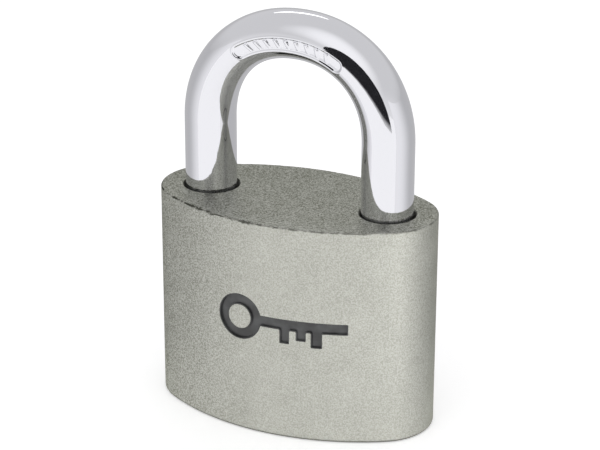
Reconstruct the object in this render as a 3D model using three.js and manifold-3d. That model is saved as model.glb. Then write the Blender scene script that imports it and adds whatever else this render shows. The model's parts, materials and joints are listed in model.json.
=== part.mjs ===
// A key-operated padlock with a lens-shaped iron body and a round bar shackle, in millimetres.
// X runs along the body's width, Y from front to back and Z up from the underside.
// It is shown closed with the bolt drawn back: the short toe leg is at -X and the long heel leg at +X.
import * as THREE from "three";
import { mergeVertices } from "three/addons/utils/BufferGeometryUtils.js";
import Module from "manifold-3d";

const wasm = await Module();
wasm.setup();

// Body: two shallow arcs front and back, joined by round ends.
const bodyWidth = 63;
const bodyThickness = 35;
const bodyHeight = 48.5;
const bodyEndRadius = 12;
const baseBevel = 0.8;
const topBevel = 0.2;

// Shackle: two straight legs and a bow that grows deeper and thinner towards its crown.
const barDiameter = 11.2;
const legEndWall = 4.9; // iron between a leg's hole and the body's end
const legRise = 15.25; // straight bar above the body
const bowRise = 21.2;
const bowExponent = 2.12; // 2 is a plain ellipse, and more is squarer
const crownDepth = 12; // front to back
const crownThickness = 10.4;
const toeDepth = 14.5; // toe leg inside the body
const toeHoleSpare = 1.5;
const liftClearance = 1; // toe leg above the body when the shackle is up
const legChamfer = 1.2;

// Keeper pin that lets the heel leg rise but not leave.
const keeperDiameter = 2.5;
const keeperBelowTop = 14;
const heelFlat = 4; // from the leg's axis to its flat and to the bottom of its groove
const heelFoot = 2; // full round below the groove
const keeperSeat = 2.3; // pin past the leg's hole
const heelFloor = 3; // iron below the leg's hole

// Bolt: a round bar that slides along X into the toe leg's notch.
const boltDiameter = 7;
const boltBelowTop = 9.5;
const boltTravel = 3.6;
const boltChamfer = 1;
const boltSetback = 0.15; // nose behind the toe leg's hole when drawn back
const boltWeb = 1.5; // iron between the bolt's bore and the heel leg's hole
const boltSpringRoom = 4.6; // behind the bolt when drawn back
const tailSlotDepth = 2.7;

// Cylinder plug, with its keyway open to the underside and a tail pin that draws the bolt.
const plugDiameter = 13;
const plugRecess = 0.5;
const plugHeadroom = 1.2; // between the plug and the bolt's bore
const tailPinDiameter = 2.4;
const tailPinSeat = 3;
const keywayWidth = 2.2;
const keywayTop = -3.2; // the pins' side of the keyway, from the plug's axis
const keywayBottom = 4.6;
const keywayPastPins = 1;
const wardWidth = 0.7;
const wardHeight = 1.3;

// Keeper pin that crosses a groove in the plug.
const plugKeeperDiameter = 2;
const plugGrooveDepth = 1.2;
const plugKeeperPast = 6.5; // how far it runs past the plug's axis
const keeperWeb = 0.9; // between that pin and the toe leg's hole

// Pin stacks: key pins in the plug, driver pins and springs in chambers drilled from the -X end.
const pinDiameter = 2.9;
const firstPinHeight = 5;
const pinPitch = 4;
const keyPinLengths = [5.2, 6.1, 4.7, 5.7, 4.5];
const keyPinTipRadius = 0.7;
const pinHolePastAxis = 1.4;
const driverLength = 5;
const pinSpringLength = 9;

// Coil springs: wire and outer diameters.
const pinSpringWire = 0.42;
const pinSpringDiameter = 2.7;
const boltSpringWire = 0.6;
const boltSpringDiameter = 5.6;
const shackleSpringWire = 1.1;
const shackleSpringDiameter = 9.6;
const coilPitch = 1.75; // of the tightest coil, in wire diameters
const pinCoils = 7;

// Clearances, each the gap on one side.
const legPlay = 0.3;
const boltPlay = 0.2;
const plugPlay = 0.25;
const pinPlay = 0.15;
const keeperPlay = 0.15;
const notchPlay = 0.25;
const slotPlay = 0.25;
const pressGap = 0.12; // round a pressed pin or cap
const faceGap = 0.15; // between two faces that rest on each other
const flushDrop = 0.1; // caps and pins ground just below the body's surface
const drillPast = 1; // how far a cut runs beyond the face it breaks through

// How finely round shapes are cut.
const frontSteps = 26;
const endSteps = 10;
const barSides = 24;
const bowSteps = 26;
const holeSides = 24;
const pinSides = 16;
const wireSides = 5;
const coilSteps = 8;

// Places that follow from the sizes above.
const legRadius = barDiameter / 2;
const legHoleRadius = legRadius + legPlay;
const legX = bodyWidth / 2 - legEndWall - legHoleRadius;
const holeInnerX = legX - legHoleRadius;
const bowStart = bodyHeight + legRise;
const shackleLift = toeDepth + liftClearance;
const toeHoleFloor = bodyHeight - toeDepth - toeHoleSpare;

const boltRadius = boltDiameter / 2;
const boltBoreRadius = boltRadius + boltPlay;
const boltZ = bodyHeight - boltBelowTop;
const boltNoseX = -holeInnerX + boltSetback;
const boltBoreEndX = holeInnerX - boltWeb;
const boltRearX = boltBoreEndX - boltSpringRoom;

const tailPinRadius = tailPinDiameter / 2;
const tailPinX = boltTravel / 2; // drawn back, a quarter turn before it locks
const tailOrbit = Math.hypot(tailPinX, tailPinX);
const tailRoom = tailOrbit + tailPinRadius + slotPlay;

const plugRadius = plugDiameter / 2;
const plugBoreRadius = plugRadius + plugPlay;
const plugTop = boltZ - boltBoreRadius - plugHeadroom;
const plugGrooveRadius = plugRadius - plugGrooveDepth;
const plugKeeperRadius = plugKeeperDiameter / 2;
const plugKeeperBore = plugKeeperRadius + pressGap;
const plugKeeperY = plugGrooveRadius + keeperPlay + plugKeeperRadius;
const plugKeeperZ = toeHoleFloor - plugKeeperRadius - keeperWeb;

const keeperRadius = keeperDiameter / 2;
const keeperY = heelFlat + keeperPlay + keeperRadius;
const keeperZ = bodyHeight - keeperBelowTop;
const keeperInnerX = legX - Math.sqrt(legHoleRadius ** 2 - heelFlat ** 2) - keeperSeat;
const grooveHalf = keeperRadius + slotPlay;
const grooveZ = keeperZ - shackleLift;
const heelBottom = grooveZ - grooveHalf - heelFoot;

const pinRadius = pinDiameter / 2;
const chamberRadius = pinRadius + pinPlay;
const driverInnerX = -(plugRadius + faceGap);
const springInnerX = driverInnerX - driverLength - faceGap;
const capInnerX = springInnerX - pinSpringLength - faceGap;
const pinHeights = keyPinLengths.map((length, i) => firstPinHeight + i * pinPitch);
const keywayEnd = pinHeights.at(-1) + chamberRadius + keywayPastPins;

// A colour and finish for each kind of metal.
const metals = {
  satinIron: { color: 0xb4b6ae, roughness: 0.5, metalness: 0.85 },
  polishedChrome: { color: 0xe6e7ea, roughness: 0.08, metalness: 1 },
  steel: { color: 0x9a9b9d, roughness: 0.35, metalness: 1 },
  springSteel: { color: 0x8a8b8e, roughness: 0.3, metalness: 1 },
  brass: { color: 0xc9a85a, roughness: 0.35, metalness: 1 },
};

// A three.js geometry as a solid that can be cut and joined.
function solid(geometry) {
  const points = geometry.clone();
  points.deleteAttribute("normal");
  points.deleteAttribute("uv");
  const merged = mergeVertices(points, 1e-4);
  const vertProperties = merged.attributes.position.array;
  const triVerts = new Uint32Array(merged.index.array);
  return new wasm.Manifold(new wasm.Mesh({ numProp: 3, vertProperties, triVerts }));
}

// The named mesh of a solid, with the look of its metal.
function piece(name, shape, metal) {
  const cut = shape.getMesh();
  const geometry = new THREE.BufferGeometry();
  geometry.setAttribute("position", new THREE.BufferAttribute(cut.vertProperties, 3));
  geometry.setIndex(new THREE.BufferAttribute(cut.triVerts, 1));
  const mesh = new THREE.Mesh(geometry, new THREE.MeshStandardMaterial(metals[metal]));
  mesh.name = name;
  return mesh;
}

// A closed skin over rings of points, each ring the same count and counter-clockwise seen from the last.
function skin(rings) {
  const count = rings[0].length;
  const middle = (ring) =>
    ring.reduce((sum, p) => sum.add(p), new THREE.Vector3()).divideScalar(ring.length);
  const points = [...rings.flat(), middle(rings[0]), middle(rings.at(-1))];
  const firstMiddle = points.length - 2;
  const lastMiddle = points.length - 1;
  const lastRing = (rings.length - 1) * count;
  const index = [];
  for (let j = 0; j < count; j++) {
    const next = (j + 1) % count;
    index.push(firstMiddle, next, j);
    index.push(lastMiddle, lastRing + j, lastRing + next);
    for (let at = 0; at < lastRing; at += count) {
      index.push(at + j, at + next, at + count + next);
      index.push(at + j, at + count + next, at + count + j);
    }
  }
  const geometry = new THREE.BufferGeometry().setFromPoints(points);
  geometry.setIndex(index);
  return solid(geometry);
}

// A round bar of one radius, or tapered, from one height to another on the Z axis.
function upright(bottom, top, radiusBottom, radiusTop = radiusBottom, sides = holeSides) {
  const bar = new THREE.CylinderGeometry(radiusTop, radiusBottom, top - bottom, sides);
  bar.rotateX(Math.PI / 2);
  bar.translate(0, 0, (bottom + top) / 2);
  return bar;
}

function roundZ(x, y, bottom, top, radius, sides = holeSides) {
  return solid(upright(bottom, top, radius, radius, sides).translate(x, y, 0));
}

function roundX(from, to, y, z, radius, sides = pinSides) {
  return solid(upright(from, to, radius, radius, sides).rotateY(Math.PI / 2).translate(0, y, z));
}

function block(x0, x1, y0, y1, z0, z1) {
  const box = new THREE.BoxGeometry(x1 - x0, y1 - y0, z1 - z0);
  return solid(box.translate((x0 + x1) / 2, (y0 + y1) / 2, (z0 + z1) / 2));
}

// The body's lens outline at one height, moved inwards by an inset: each arc keeps its centre.
function lensRing(z, inset = 0) {
  const endX = bodyWidth / 2 - bodyEndRadius;
  const half = bodyThickness / 2;
  const faceRadius = (endX ** 2 + half ** 2 - bodyEndRadius ** 2) / (2 * (half - bodyEndRadius));
  const faceY = faceRadius - half;
  const join = Math.atan2(-faceY, endX); // where a face's arc meets the right end's arc
  const ring = [];
  const arc = (cx, cy, radius, from, to, steps) => {
    for (let i = 0; i < steps; i++) {
      const a = from + ((to - from) * i) / steps;
      ring.push(new THREE.Vector3(cx + radius * Math.cos(a), cy + radius * Math.sin(a), z));
    }
  };
  const face = faceRadius - inset;
  const end = bodyEndRadius - inset;
  arc(0, faceY, face, -Math.PI - join, join, frontSteps);
  arc(endX, 0, end, join, -join, endSteps);
  arc(0, -faceY, face, -join, Math.PI + join, frontSteps);
  arc(-endX, 0, end, Math.PI + join, Math.PI - join, endSteps);
  return ring;
}

// Grinds a pressed piece just below the body's surface.
function groundFlush(shape) {
  return shape.intersect(skin([lensRing(0, flushDrop), lensRing(bodyHeight, flushDrop)]));
}

function lockBody() {
  let body = skin([
    lensRing(0, baseBevel),
    lensRing(baseBevel),
    lensRing(bodyHeight - topBevel),
    lensRing(bodyHeight, topBevel),
  ]);
  const outside = bodyWidth / 2 + drillPast;
  const above = bodyHeight + drillPast;
  const holes = [
    roundZ(-legX, 0, toeHoleFloor, above, legHoleRadius, barSides),
    roundZ(legX, 0, heelFloor, above, legHoleRadius, barSides),
    roundZ(0, 0, -drillPast, plugTop + faceGap, plugBoreRadius),
    roundZ(0, 0, plugTop, boltZ, tailRoom + slotPlay),
    roundX(-outside, boltBoreEndX, 0, boltZ, boltBoreRadius, holeSides),
    roundX(keeperInnerX - faceGap, outside, keeperY, keeperZ, keeperRadius + pressGap),
    roundX(-outside, plugKeeperPast + faceGap, plugKeeperY, plugKeeperZ, plugKeeperBore),
    ...pinHeights.map((z) => roundX(-outside, 0, 0, z, chamberRadius)),
  ];
  for (const hole of holes) body = body.subtract(hole);
  return body;
}

// A ring of the bar about a point of its centreline, square to the direction it runs in.
function barRing(centre, along, thickness, depth) {
  const back = new THREE.Vector3(0, 1, 0);
  const out = back.clone().cross(along).normalize();
  const ring = [];
  for (let i = 0; i < barSides; i++) {
    const a = (2 * Math.PI * i) / barSides;
    const point = centre.clone();
    point.addScaledVector(out, (Math.cos(a) * thickness) / 2);
    point.addScaledVector(back, (Math.sin(a) * depth) / 2);
    ring.push(point);
  }
  return ring;
}

// The bow's centreline, from 0 at the toe leg to 1 at the heel leg.
function bowPoint(t) {
  const power = 2 / bowExponent;
  const across = Math.cos(Math.PI * t);
  const up = Math.max(0, Math.sin(Math.PI * t));
  const x = -legX * Math.sign(across) * Math.abs(across) ** power;
  return new THREE.Vector3(x, 0, bowStart + bowRise * up ** power);
}

function shackle() {
  const up = new THREE.Vector3(0, 0, 1);
  const down = new THREE.Vector3(0, 0, -1);
  const leg = (x, z, along, diameter) =>
    barRing(new THREE.Vector3(x, 0, z), along, diameter, diameter);
  const tip = barDiameter - 2 * legChamfer;
  const toeBottom = bodyHeight - toeDepth;
  const rings = [
    leg(-legX, toeBottom, up, tip),
    leg(-legX, toeBottom + legChamfer, up, barDiameter),
    leg(-legX, bowStart, up, barDiameter),
  ];
  const nudge = 1e-3;
  for (let i = 1; i < bowSteps; i++) {
    const t = i / bowSteps;
    const along = bowPoint(t + nudge).sub(bowPoint(t - nudge)).normalize();
    const swell = THREE.MathUtils.smoothstep(Math.sin(Math.PI * t), 0, 1);
    const thickness = THREE.MathUtils.lerp(barDiameter, crownThickness, swell);
    const depth = THREE.MathUtils.lerp(barDiameter, crownDepth, swell);
    rings.push(barRing(bowPoint(t), along, thickness, depth));
  }
  rings.push(leg(legX, bowStart, down, barDiameter));
  rings.push(leg(legX, heelBottom + legChamfer, down, barDiameter));
  rings.push(leg(legX, heelBottom, down, tip));

  const wide = barDiameter;
  const notchX = boltNoseX - boltTravel - notchPlay;
  const notchHalf = boltRadius + notchPlay;
  const notch = block(notchX, -legX + wide, -wide, wide, boltZ - notchHalf, boltZ + notchHalf);
  const flatTop = keeperZ + grooveHalf;
  const flat = block(legX - wide, legX + wide, heelFlat, wide, grooveZ, flatTop);
  const groove = roundZ(legX, 0, grooveZ - grooveHalf, grooveZ + grooveHalf, wide)
    .subtract(roundZ(legX, 0, grooveZ - wide, grooveZ + wide, heelFlat));
  return skin(rings).subtract(notch).subtract(flat).subtract(groove);
}

// The bolt has a slot under it. The tail pin drives the slot's wall nearest the heel leg, and the
// room on the other side lets the toe leg push the bolt back when the shackle is snapped shut.
function lockingBolt() {
  const profile = [
    new THREE.Vector2(0, boltNoseX),
    new THREE.Vector2(boltRadius - boltChamfer, boltNoseX),
    new THREE.Vector2(boltRadius, boltNoseX + boltChamfer),
    new THREE.Vector2(boltRadius, boltRearX),
    new THREE.Vector2(0, boltRearX),
  ];
  const bar = new THREE.LatheGeometry(profile, holeSides);
  bar.rotateX(Math.PI / 2).rotateY(Math.PI / 2);
  bar.translate(0, 0, boltZ);
  const wallX = tailPinX + tailPinRadius + slotPlay;
  const freeX = tailPinX - tailPinRadius - slotPlay - boltTravel;
  const floor = boltZ - boltRadius;
  const roof = floor + tailSlotDepth;
  const slot = block(freeX, wallX, -boltDiameter, boltDiameter, floor - drillPast, roof);
  return solid(bar).subtract(slot);
}

// The keyway: a tall slot along Y with one ward standing in from each side.
function keyway() {
  const half = keywayWidth / 2;
  const wardY = (keywayTop + keywayBottom) / 2;
  const outline = [
    [-half, keywayTop],
    [half, keywayTop],
    [half, wardY - wardHeight],
    [half - wardWidth, wardY - wardHeight],
    [half - wardWidth, wardY],
    [half, wardY],
    [half, keywayBottom],
    [-half, keywayBottom],
    [-half, wardY + wardHeight],
    [-half + wardWidth, wardY + wardHeight],
    [-half + wardWidth, wardY + wardHeight / 2],
    [-half, wardY + wardHeight / 2],
  ];
  const shape = new THREE.Shape(outline.map(([x, y]) => new THREE.Vector2(x, y)));
  const depth = keywayEnd + drillPast;
  const slot = new THREE.ExtrudeGeometry(shape, { depth, bevelEnabled: false });
  return solid(slot.translate(0, 0, -drillPast));
}

// With the bolt drawn back, the plug's pin holes face the front (-Y).
function cylinderPlug() {
  const half = plugKeeperRadius + keeperPlay;
  const core = roundZ(0, 0, 0, plugTop, plugGrooveRadius);
  const groove = roundZ(0, 0, plugKeeperZ - half, plugKeeperZ + half, plugDiameter).subtract(core);
  const seatFloor = plugTop - tailPinSeat - faceGap;
  const seatRadius = tailPinRadius + pressGap;
  const seat = roundZ(tailPinX, -tailPinX, seatFloor, plugTop + drillPast, seatRadius);
  let plug = roundZ(0, 0, plugRecess, plugTop, plugRadius);
  plug = plug.subtract(groove).subtract(keyway()).subtract(seat);
  for (const z of pinHeights) {
    const hole = upright(-plugDiameter, pinHolePastAxis, chamberRadius, chamberRadius, pinSides);
    plug = plug.subtract(solid(hole.rotateX(-Math.PI / 2).translate(0, 0, z)));
  }
  return plug;
}

function tailPin() {
  const top = boltZ - boltRadius + tailSlotDepth - faceGap;
  return roundZ(tailPinX, -tailPinX, plugTop - tailPinSeat, top, tailPinRadius, pinSides);
}

// A key pin lies along Y in the plug: flat at the shear line, coned where it meets the key.
function keyPin(z, length) {
  const outer = -(plugRadius - faceGap);
  const cone = pinRadius - keyPinTipRadius;
  const profile = [
    new THREE.Vector2(0, outer),
    new THREE.Vector2(pinRadius, outer),
    new THREE.Vector2(pinRadius, outer + length - cone),
    new THREE.Vector2(keyPinTipRadius, outer + length),
    new THREE.Vector2(0, outer + length),
  ];
  return solid(new THREE.LatheGeometry(profile, pinSides).translate(0, 0, z));
}

// The centreline of a coil spring, wound up the Z axis.
class Helix extends THREE.Curve {
  constructor(radius, length, turns) {
    super();
    Object.assign(this, { radius, length, turns });
  }

  getPoint(t, target = new THREE.Vector3()) {
    const a = 2 * Math.PI * this.turns * t;
    return target.set(this.radius * Math.cos(a), this.radius * Math.sin(a), this.length * t);
  }
}

// A coil spring that fills a length of the Z axis, starting at zero.
function coil(length, wire, diameter, turns) {
  const run = length - wire; // the wire's own thickness is inside the length
  const path = new Helix((diameter - wire) / 2, run, turns);
  const section = new THREE.Shape();
  for (let i = 0; i < wireSides; i++) {
    const a = (2 * Math.PI * i) / wireSides;
    const x = (Math.cos(a) * wire) / 2;
    const y = (Math.sin(a) * wire) / 2;
    if (i === 0) section.moveTo(x, y);
    else section.lineTo(x, y);
  }
  const steps = Math.round(turns * coilSteps);
  const wound = new THREE.ExtrudeGeometry(section, { steps, extrudePath: path });
  return wound.translate(0, 0, wire / 2);
}

function turnsIn(length, wire) {
  return Math.floor((length - wire) / (wire * coilPitch));
}

function pinSpring(z) {
  const spring = coil(pinSpringLength, pinSpringWire, pinSpringDiameter, pinCoils);
  return solid(spring.rotateY(-Math.PI / 2).translate(springInnerX, 0, z));
}

function boltSpring() {
  const length = boltSpringRoom - 2 * faceGap;
  const turns = turnsIn(length, boltSpringWire);
  const spring = coil(length, boltSpringWire, boltSpringDiameter, turns);
  return solid(spring.rotateY(Math.PI / 2).translate(boltRearX + faceGap, 0, boltZ));
}

function shackleSpring() {
  const length = heelBottom - heelFloor - 2 * faceGap;
  const turns = turnsIn(length, shackleSpringWire);
  const spring = coil(length, shackleSpringWire, shackleSpringDiameter, turns);
  return solid(spring.translate(legX, 0, heelFloor + faceGap));
}

// Pressed caps and keeper pins, each ground flush with the body's ends.
const outerX = bodyWidth / 2;
const capRadius = chamberRadius - pressGap;
const boltCapInnerX = -(legX + legHoleRadius) - faceGap;
const boltCap = roundX(-outerX, boltCapInnerX, 0, boltZ, boltBoreRadius - pressGap, holeSides);
const shackleKeeper = roundX(keeperInnerX, outerX, keeperY, keeperZ, keeperRadius);
const plugKeeper = roundX(-outerX, plugKeeperPast, plugKeeperY, plugKeeperZ, plugKeeperRadius);

const padlock = new THREE.Group();
padlock.add(
  piece("lock_body", lockBody(), "satinIron"),
  piece("bolt_bore_cap", groundFlush(boltCap), "satinIron"),
  piece("shackle_keeper_pin", groundFlush(shackleKeeper), "steel"),
  piece("plug_keeper_pin", groundFlush(plugKeeper), "steel"),
  piece("shackle_spring", shackleSpring(), "springSteel"),
  piece("bolt_spring", boltSpring(), "springSteel"),
  piece("shackle", shackle(), "polishedChrome"),
  piece("locking_bolt", lockingBolt(), "steel"),
);

const plugGroup = new THREE.Group();
plugGroup.add(
  piece("cylinder_plug", cylinderPlug(), "brass"),
  piece("tail_pin", tailPin(), "steel"),
);
padlock.add(plugGroup);

pinHeights.forEach((z, i) => {
  const number = i + 1;
  const driverOuterX = driverInnerX - driverLength;
  const driver = roundX(driverOuterX, driverInnerX, 0, z, pinRadius);
  const cap = roundX(-outerX, capInnerX, 0, z, capRadius);
  padlock.add(
    piece(`driver_pin_${number}`, driver, "brass"),
    piece(`pin_spring_${number}`, pinSpring(z), "springSteel"),
    piece(`chamber_cap_${number}`, groundFlush(cap), "satinIron"),
  );
  plugGroup.add(piece(`key_pin_${number}`, keyPin(z, keyPinLengths[i]), "brass"));
});

export default padlock;
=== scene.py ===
"""A lens-bodied iron padlock with a polished shackle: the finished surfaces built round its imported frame.

Lengths are worked out in millimetres and turned to metres when a mesh is made. X runs along the body's
width to the heel leg, Y to the back and Z up from the underside.
"""

import json
import logging
import math
from dataclasses import dataclass
from enum import Enum
from functools import cache

import bpy
import numpy as np
from bpy.types import Collection, Material, Node, NodeSocket, NodeTree, Object
from mathutils import Matrix, Vector

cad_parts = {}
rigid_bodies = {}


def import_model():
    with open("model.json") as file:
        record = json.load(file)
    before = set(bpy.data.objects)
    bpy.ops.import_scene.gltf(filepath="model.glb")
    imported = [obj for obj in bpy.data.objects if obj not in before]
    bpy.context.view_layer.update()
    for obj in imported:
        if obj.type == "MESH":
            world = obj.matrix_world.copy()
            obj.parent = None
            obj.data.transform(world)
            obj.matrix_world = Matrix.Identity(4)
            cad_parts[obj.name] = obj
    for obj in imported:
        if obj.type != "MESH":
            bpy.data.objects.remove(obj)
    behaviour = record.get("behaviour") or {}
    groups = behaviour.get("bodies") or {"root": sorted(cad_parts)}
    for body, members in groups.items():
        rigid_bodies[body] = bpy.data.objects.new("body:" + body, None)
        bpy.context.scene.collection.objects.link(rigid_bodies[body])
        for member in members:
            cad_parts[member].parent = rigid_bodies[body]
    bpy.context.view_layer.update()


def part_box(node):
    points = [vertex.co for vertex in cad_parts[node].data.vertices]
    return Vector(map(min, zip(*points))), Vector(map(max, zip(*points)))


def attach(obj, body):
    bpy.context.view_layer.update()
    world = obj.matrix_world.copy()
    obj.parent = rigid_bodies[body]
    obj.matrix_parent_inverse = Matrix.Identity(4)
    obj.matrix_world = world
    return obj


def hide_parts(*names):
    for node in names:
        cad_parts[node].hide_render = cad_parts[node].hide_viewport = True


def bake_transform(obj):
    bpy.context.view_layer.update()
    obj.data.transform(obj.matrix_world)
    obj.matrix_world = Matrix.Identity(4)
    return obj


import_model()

LOG = logging.getLogger("padlock")
# Two ends of a range, three lengths or shares that belong together, and a colour with its alpha.
Span = tuple[float, float]
Triple = tuple[float, float, float]
Colour = tuple[float, float, float, float]
MM = 0.001
PIN_COUNT = 5
SMOOTH_LIMIT = math.radians(32)
# The azimuth that the room is brightest at, and how squarely a direction faces it from dim to bright.
LIT_FRONT = 18.0
FRONT_SEEN = (-0.25, 0.6)
# How far a cutting tool runs past the surface that it opens, in millimetres.
PAST = 1.0
# A closed spring turn's rise, in wire thicknesses, and the steps that a turn is drawn with.
CLOSED_RISE = 1.03
TURN_STEPS = 28
# A Wave texture of scale 1 has this many metres from line to line, times pi over ten.
WAVE_UNIT = math.pi / 10
# What a value between 0 and 1 becomes: itself, or turned round.
RISING = (0.0, 1.0)
FALLING = (1.0, 0.0)
# The finishes that the low key lamps light.
KEY_LIT = ("satin_nickel_on_iron", "black_enamel_fill")


class Axis(Enum):
    """The direction a round piece runs in: two directions across it, then the one along it."""

    X = ((0, 1, 0), (0, 0, 1), (1, 0, 0))
    Y = ((0, 0, 1), (1, 0, 0), (0, 1, 0))
    Z = ((1, 0, 0), (0, 1, 0), (0, 0, 1))


class Carve(Enum):
    """How a tool changes the piece it is put to."""

    CUT = "DIFFERENCE"
    KEEP = "INTERSECT"
    JOIN = "UNION"


class Step(Enum):
    """One step of arithmetic in a material."""

    PLUS = "ADD"
    LESS = "SUBTRACT"
    TIMES = "MULTIPLY"
    GREATER = "MAXIMUM"
    SIZE = "ABSOLUTE"


class Curve(Enum):
    """How a mapped value goes from one end of its range to the other."""

    EVEN = "LINEAR"
    EASED = "SMOOTHSTEP"


class Slot(Enum):
    """The record's material slots."""

    IRON = "satin_iron"
    CHROME = "polished_chrome"
    STEEL = "machined_steel"
    SPRING = "spring_steel"
    BRASS = "brass"


# ---------------------------------------------------------------------------------------------------
# Mesh making
# ---------------------------------------------------------------------------------------------------


def box_mm(node: str) -> tuple[np.ndarray, np.ndarray]:
    """Reads where a CAD node is.

    Args:
        node: The CAD node's name.

    Returns:
        Its lowest and highest corners at rest, in millimetres.
    """
    low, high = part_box(node)
    return np.array(low) / MM, np.array(high) / MM


def mesh_object(
    name: str, points: np.ndarray, quads: np.ndarray, triangles: np.ndarray
) -> Object:
    """Puts arrays of points and faces into a new object at the origin.

    Args:
        name: The object's name.
        points: (n, 3) places in millimetres.
        quads: (q, 4) point numbers of each four-sided face.
        triangles: (t, 3) point numbers of each three-sided face.

    Returns:
        The new object, linked to the scene.
    """
    mesh = bpy.data.meshes.new(name)
    corners = np.concatenate([quads.ravel(), triangles.ravel()]).astype(np.int32)
    sizes = np.concatenate([np.full(len(quads), 4), np.full(len(triangles), 3)]).astype(np.int32)
    mesh.vertices.add(len(points))
    mesh.vertices.foreach_set("co", (points * MM).astype(np.float32).ravel())
    mesh.loops.add(len(corners))
    mesh.loops.foreach_set("vertex_index", corners)
    mesh.polygons.add(len(sizes))
    mesh.polygons.foreach_set("loop_start", np.concatenate([[0], np.cumsum(sizes)[:-1]]).astype(np.int32))
    mesh.update(calc_edges=True)
    mesh.validate()
    made = bpy.data.objects.new(name, mesh)
    bpy.context.scene.collection.objects.link(made)
    return made


def skin(name: str, rings: np.ndarray) -> Object:
    """A closed surface over rings of points.

    Point j of ring i joins point j + 1, and the same two of ring i + 1, as one face. j wraps round, and
    a fan of triangles from the middle of each end ring closes that end. Rings run counter-clockwise
    about the direction that they are stacked in, so that the faces point outwards.

    Args:
        name: The object's name.
        rings: (rings, points in a ring, 3) places in millimetres.

    Returns:
        The new object.
    """
    count, around = rings.shape[:2]
    first = np.arange(around)
    after = (first + 1) % around
    base = (np.arange(count - 1) * around)[:, None]
    corners = (base + first, base + after, base + around + after, base + around + first)
    quads = np.stack(corners, axis=-1).reshape(-1, 4)
    points = np.concatenate([rings.reshape(-1, 3), rings[:1].mean(axis=1), rings[-1:].mean(axis=1)])
    start, end = len(points) - 2, len(points) - 1
    last = (count - 1) * around
    start_fan = np.stack([np.full(around, start), after, first], axis=-1)
    end_fan = np.stack([np.full(around, end), last + first, last + after], axis=-1)
    return mesh_object(name, points, quads, np.concatenate([start_fan, end_fan]))


def softened(corners: list[Triple], steps: int = 5) -> np.ndarray:
    """A profile whose corners are rounded.

    Each corner is replaced by a quadratic curve that starts and ends its fillet's length away along the
    two sides and is pulled towards the corner.

    Args:
        corners: (radius, distance along the axis, fillet) of each corner, in millimetres.
        steps: Points on each rounded corner, less one.

    Returns:
        (n, 2) radius and distance of each point.
    """
    places = np.array([corner[:2] for corner in corners], float)
    t = np.linspace(0, 1, steps + 1)[:, None]
    made = [places[:1]]
    for before, place, after, corner in zip(places, places[1:], places[2:], corners[1:]):
        fillet = corner[2]
        back, ahead = before - place, after - place
        start = place + back / np.linalg.norm(back) * fillet
        end = place + ahead / np.linalg.norm(ahead) * fillet
        curve = (1 - t) ** 2 * start + 2 * t * (1 - t) * place + t**2 * end
        made.append(curve if fillet > 0 else place[None])
    return np.concatenate([*made, places[-1:]])


def lathe(
    name: str, axis: Axis, centre: np.ndarray, profile: np.ndarray, sides: int = 96
) -> Object:
    """Turns a profile about an axis.

    At turn a, a profile point of radius r and distance d lies at centre + r cos(a) across + r sin(a)
    across' + d along. The profile's two end points lie on the axis, where fans close the surface.

    Args:
        name: The object's name.
        axis: The direction of the turning axis.
        centre: A point on the axis, where distance is zero, in millimetres.
        profile: (n, 2) radius and distance, from one end of the axis to the other.
        sides: Points round the axis.

    Returns:
        The new object.
    """
    across, across_too, along = np.array(axis.value, float)
    a = np.arange(sides) * (2 * np.pi / sides)
    around = np.cos(a)[:, None] * across + np.sin(a)[:, None] * across_too
    body = profile[1:-1]
    rings = np.array(centre, float) + body[:, :1, None] * around + body[:, 1, None, None] * along
    return skin(name, rings)


def round_bar(
    name: str,
    axis: Axis,
    centre: Triple,
    span: Span,
    radius: float,
    edge: float = 0.0,
) -> Object:
    """A turned bar with softened rims.

    Args:
        name: The object's name.
        axis: The direction it runs in.
        centre: A point on its axis, in millimetres.
        span: Where it starts and ends along its axis, from that point.
        radius: Its radius.
        edge: The fillet at each rim.

    Returns:
        The new object.
    """
    start, end = span
    rims = softened([(0, start, 0), (radius, start, edge), (radius, end, edge), (0, end, 0)])
    return lathe(name, axis, np.array(centre), rims)


def block(name: str, low: Triple, high: Triple) -> Object:
    """A box between two corners, used only as a cutting tool.

    Args:
        name: The object's name.
        low: The lowest corner, in millimetres.
        high: The highest corner, in millimetres.

    Returns:
        The new object.
    """
    (x0, y0, z0), (x1, y1, z1) = low, high
    outline = np.array([(x0, y0), (x1, y0), (x1, y1), (x0, y1)], float)
    rings = np.stack([np.column_stack([outline, np.full(4, z)]) for z in (z0, z1)])
    return skin(name, rings)


def prism(name: str, outline: np.ndarray, axis: Axis, span: Span) -> Object:
    """A straight piece with one outline all along it.

    Args:
        name: The object's name.
        outline: (n, 2) places across the axis, counter-clockwise about it, in millimetres.
        axis: The direction it runs in.
        span: Where it starts and ends on that axis.

    Returns:
        The new object. Its ends are each one many-sided face.
    """
    across, across_too, along = np.array(axis.value, float)
    flat = outline[:, :1] * across + outline[:, 1:] * across_too
    points = np.concatenate([flat + along * span[0], flat + along * span[1]])
    count = len(outline)
    first = np.arange(count)
    after = (first + 1) % count
    sides = np.stack([first, after, count + after, count + first], axis=-1).tolist()
    mesh = bpy.data.meshes.new(name)
    ends = [first[::-1].tolist(), (first + count).tolist()]
    mesh.from_pydata((points * MM).tolist(), [], sides + ends)
    made = bpy.data.objects.new(name, mesh)
    bpy.context.scene.collection.objects.link(made)
    return made


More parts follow.
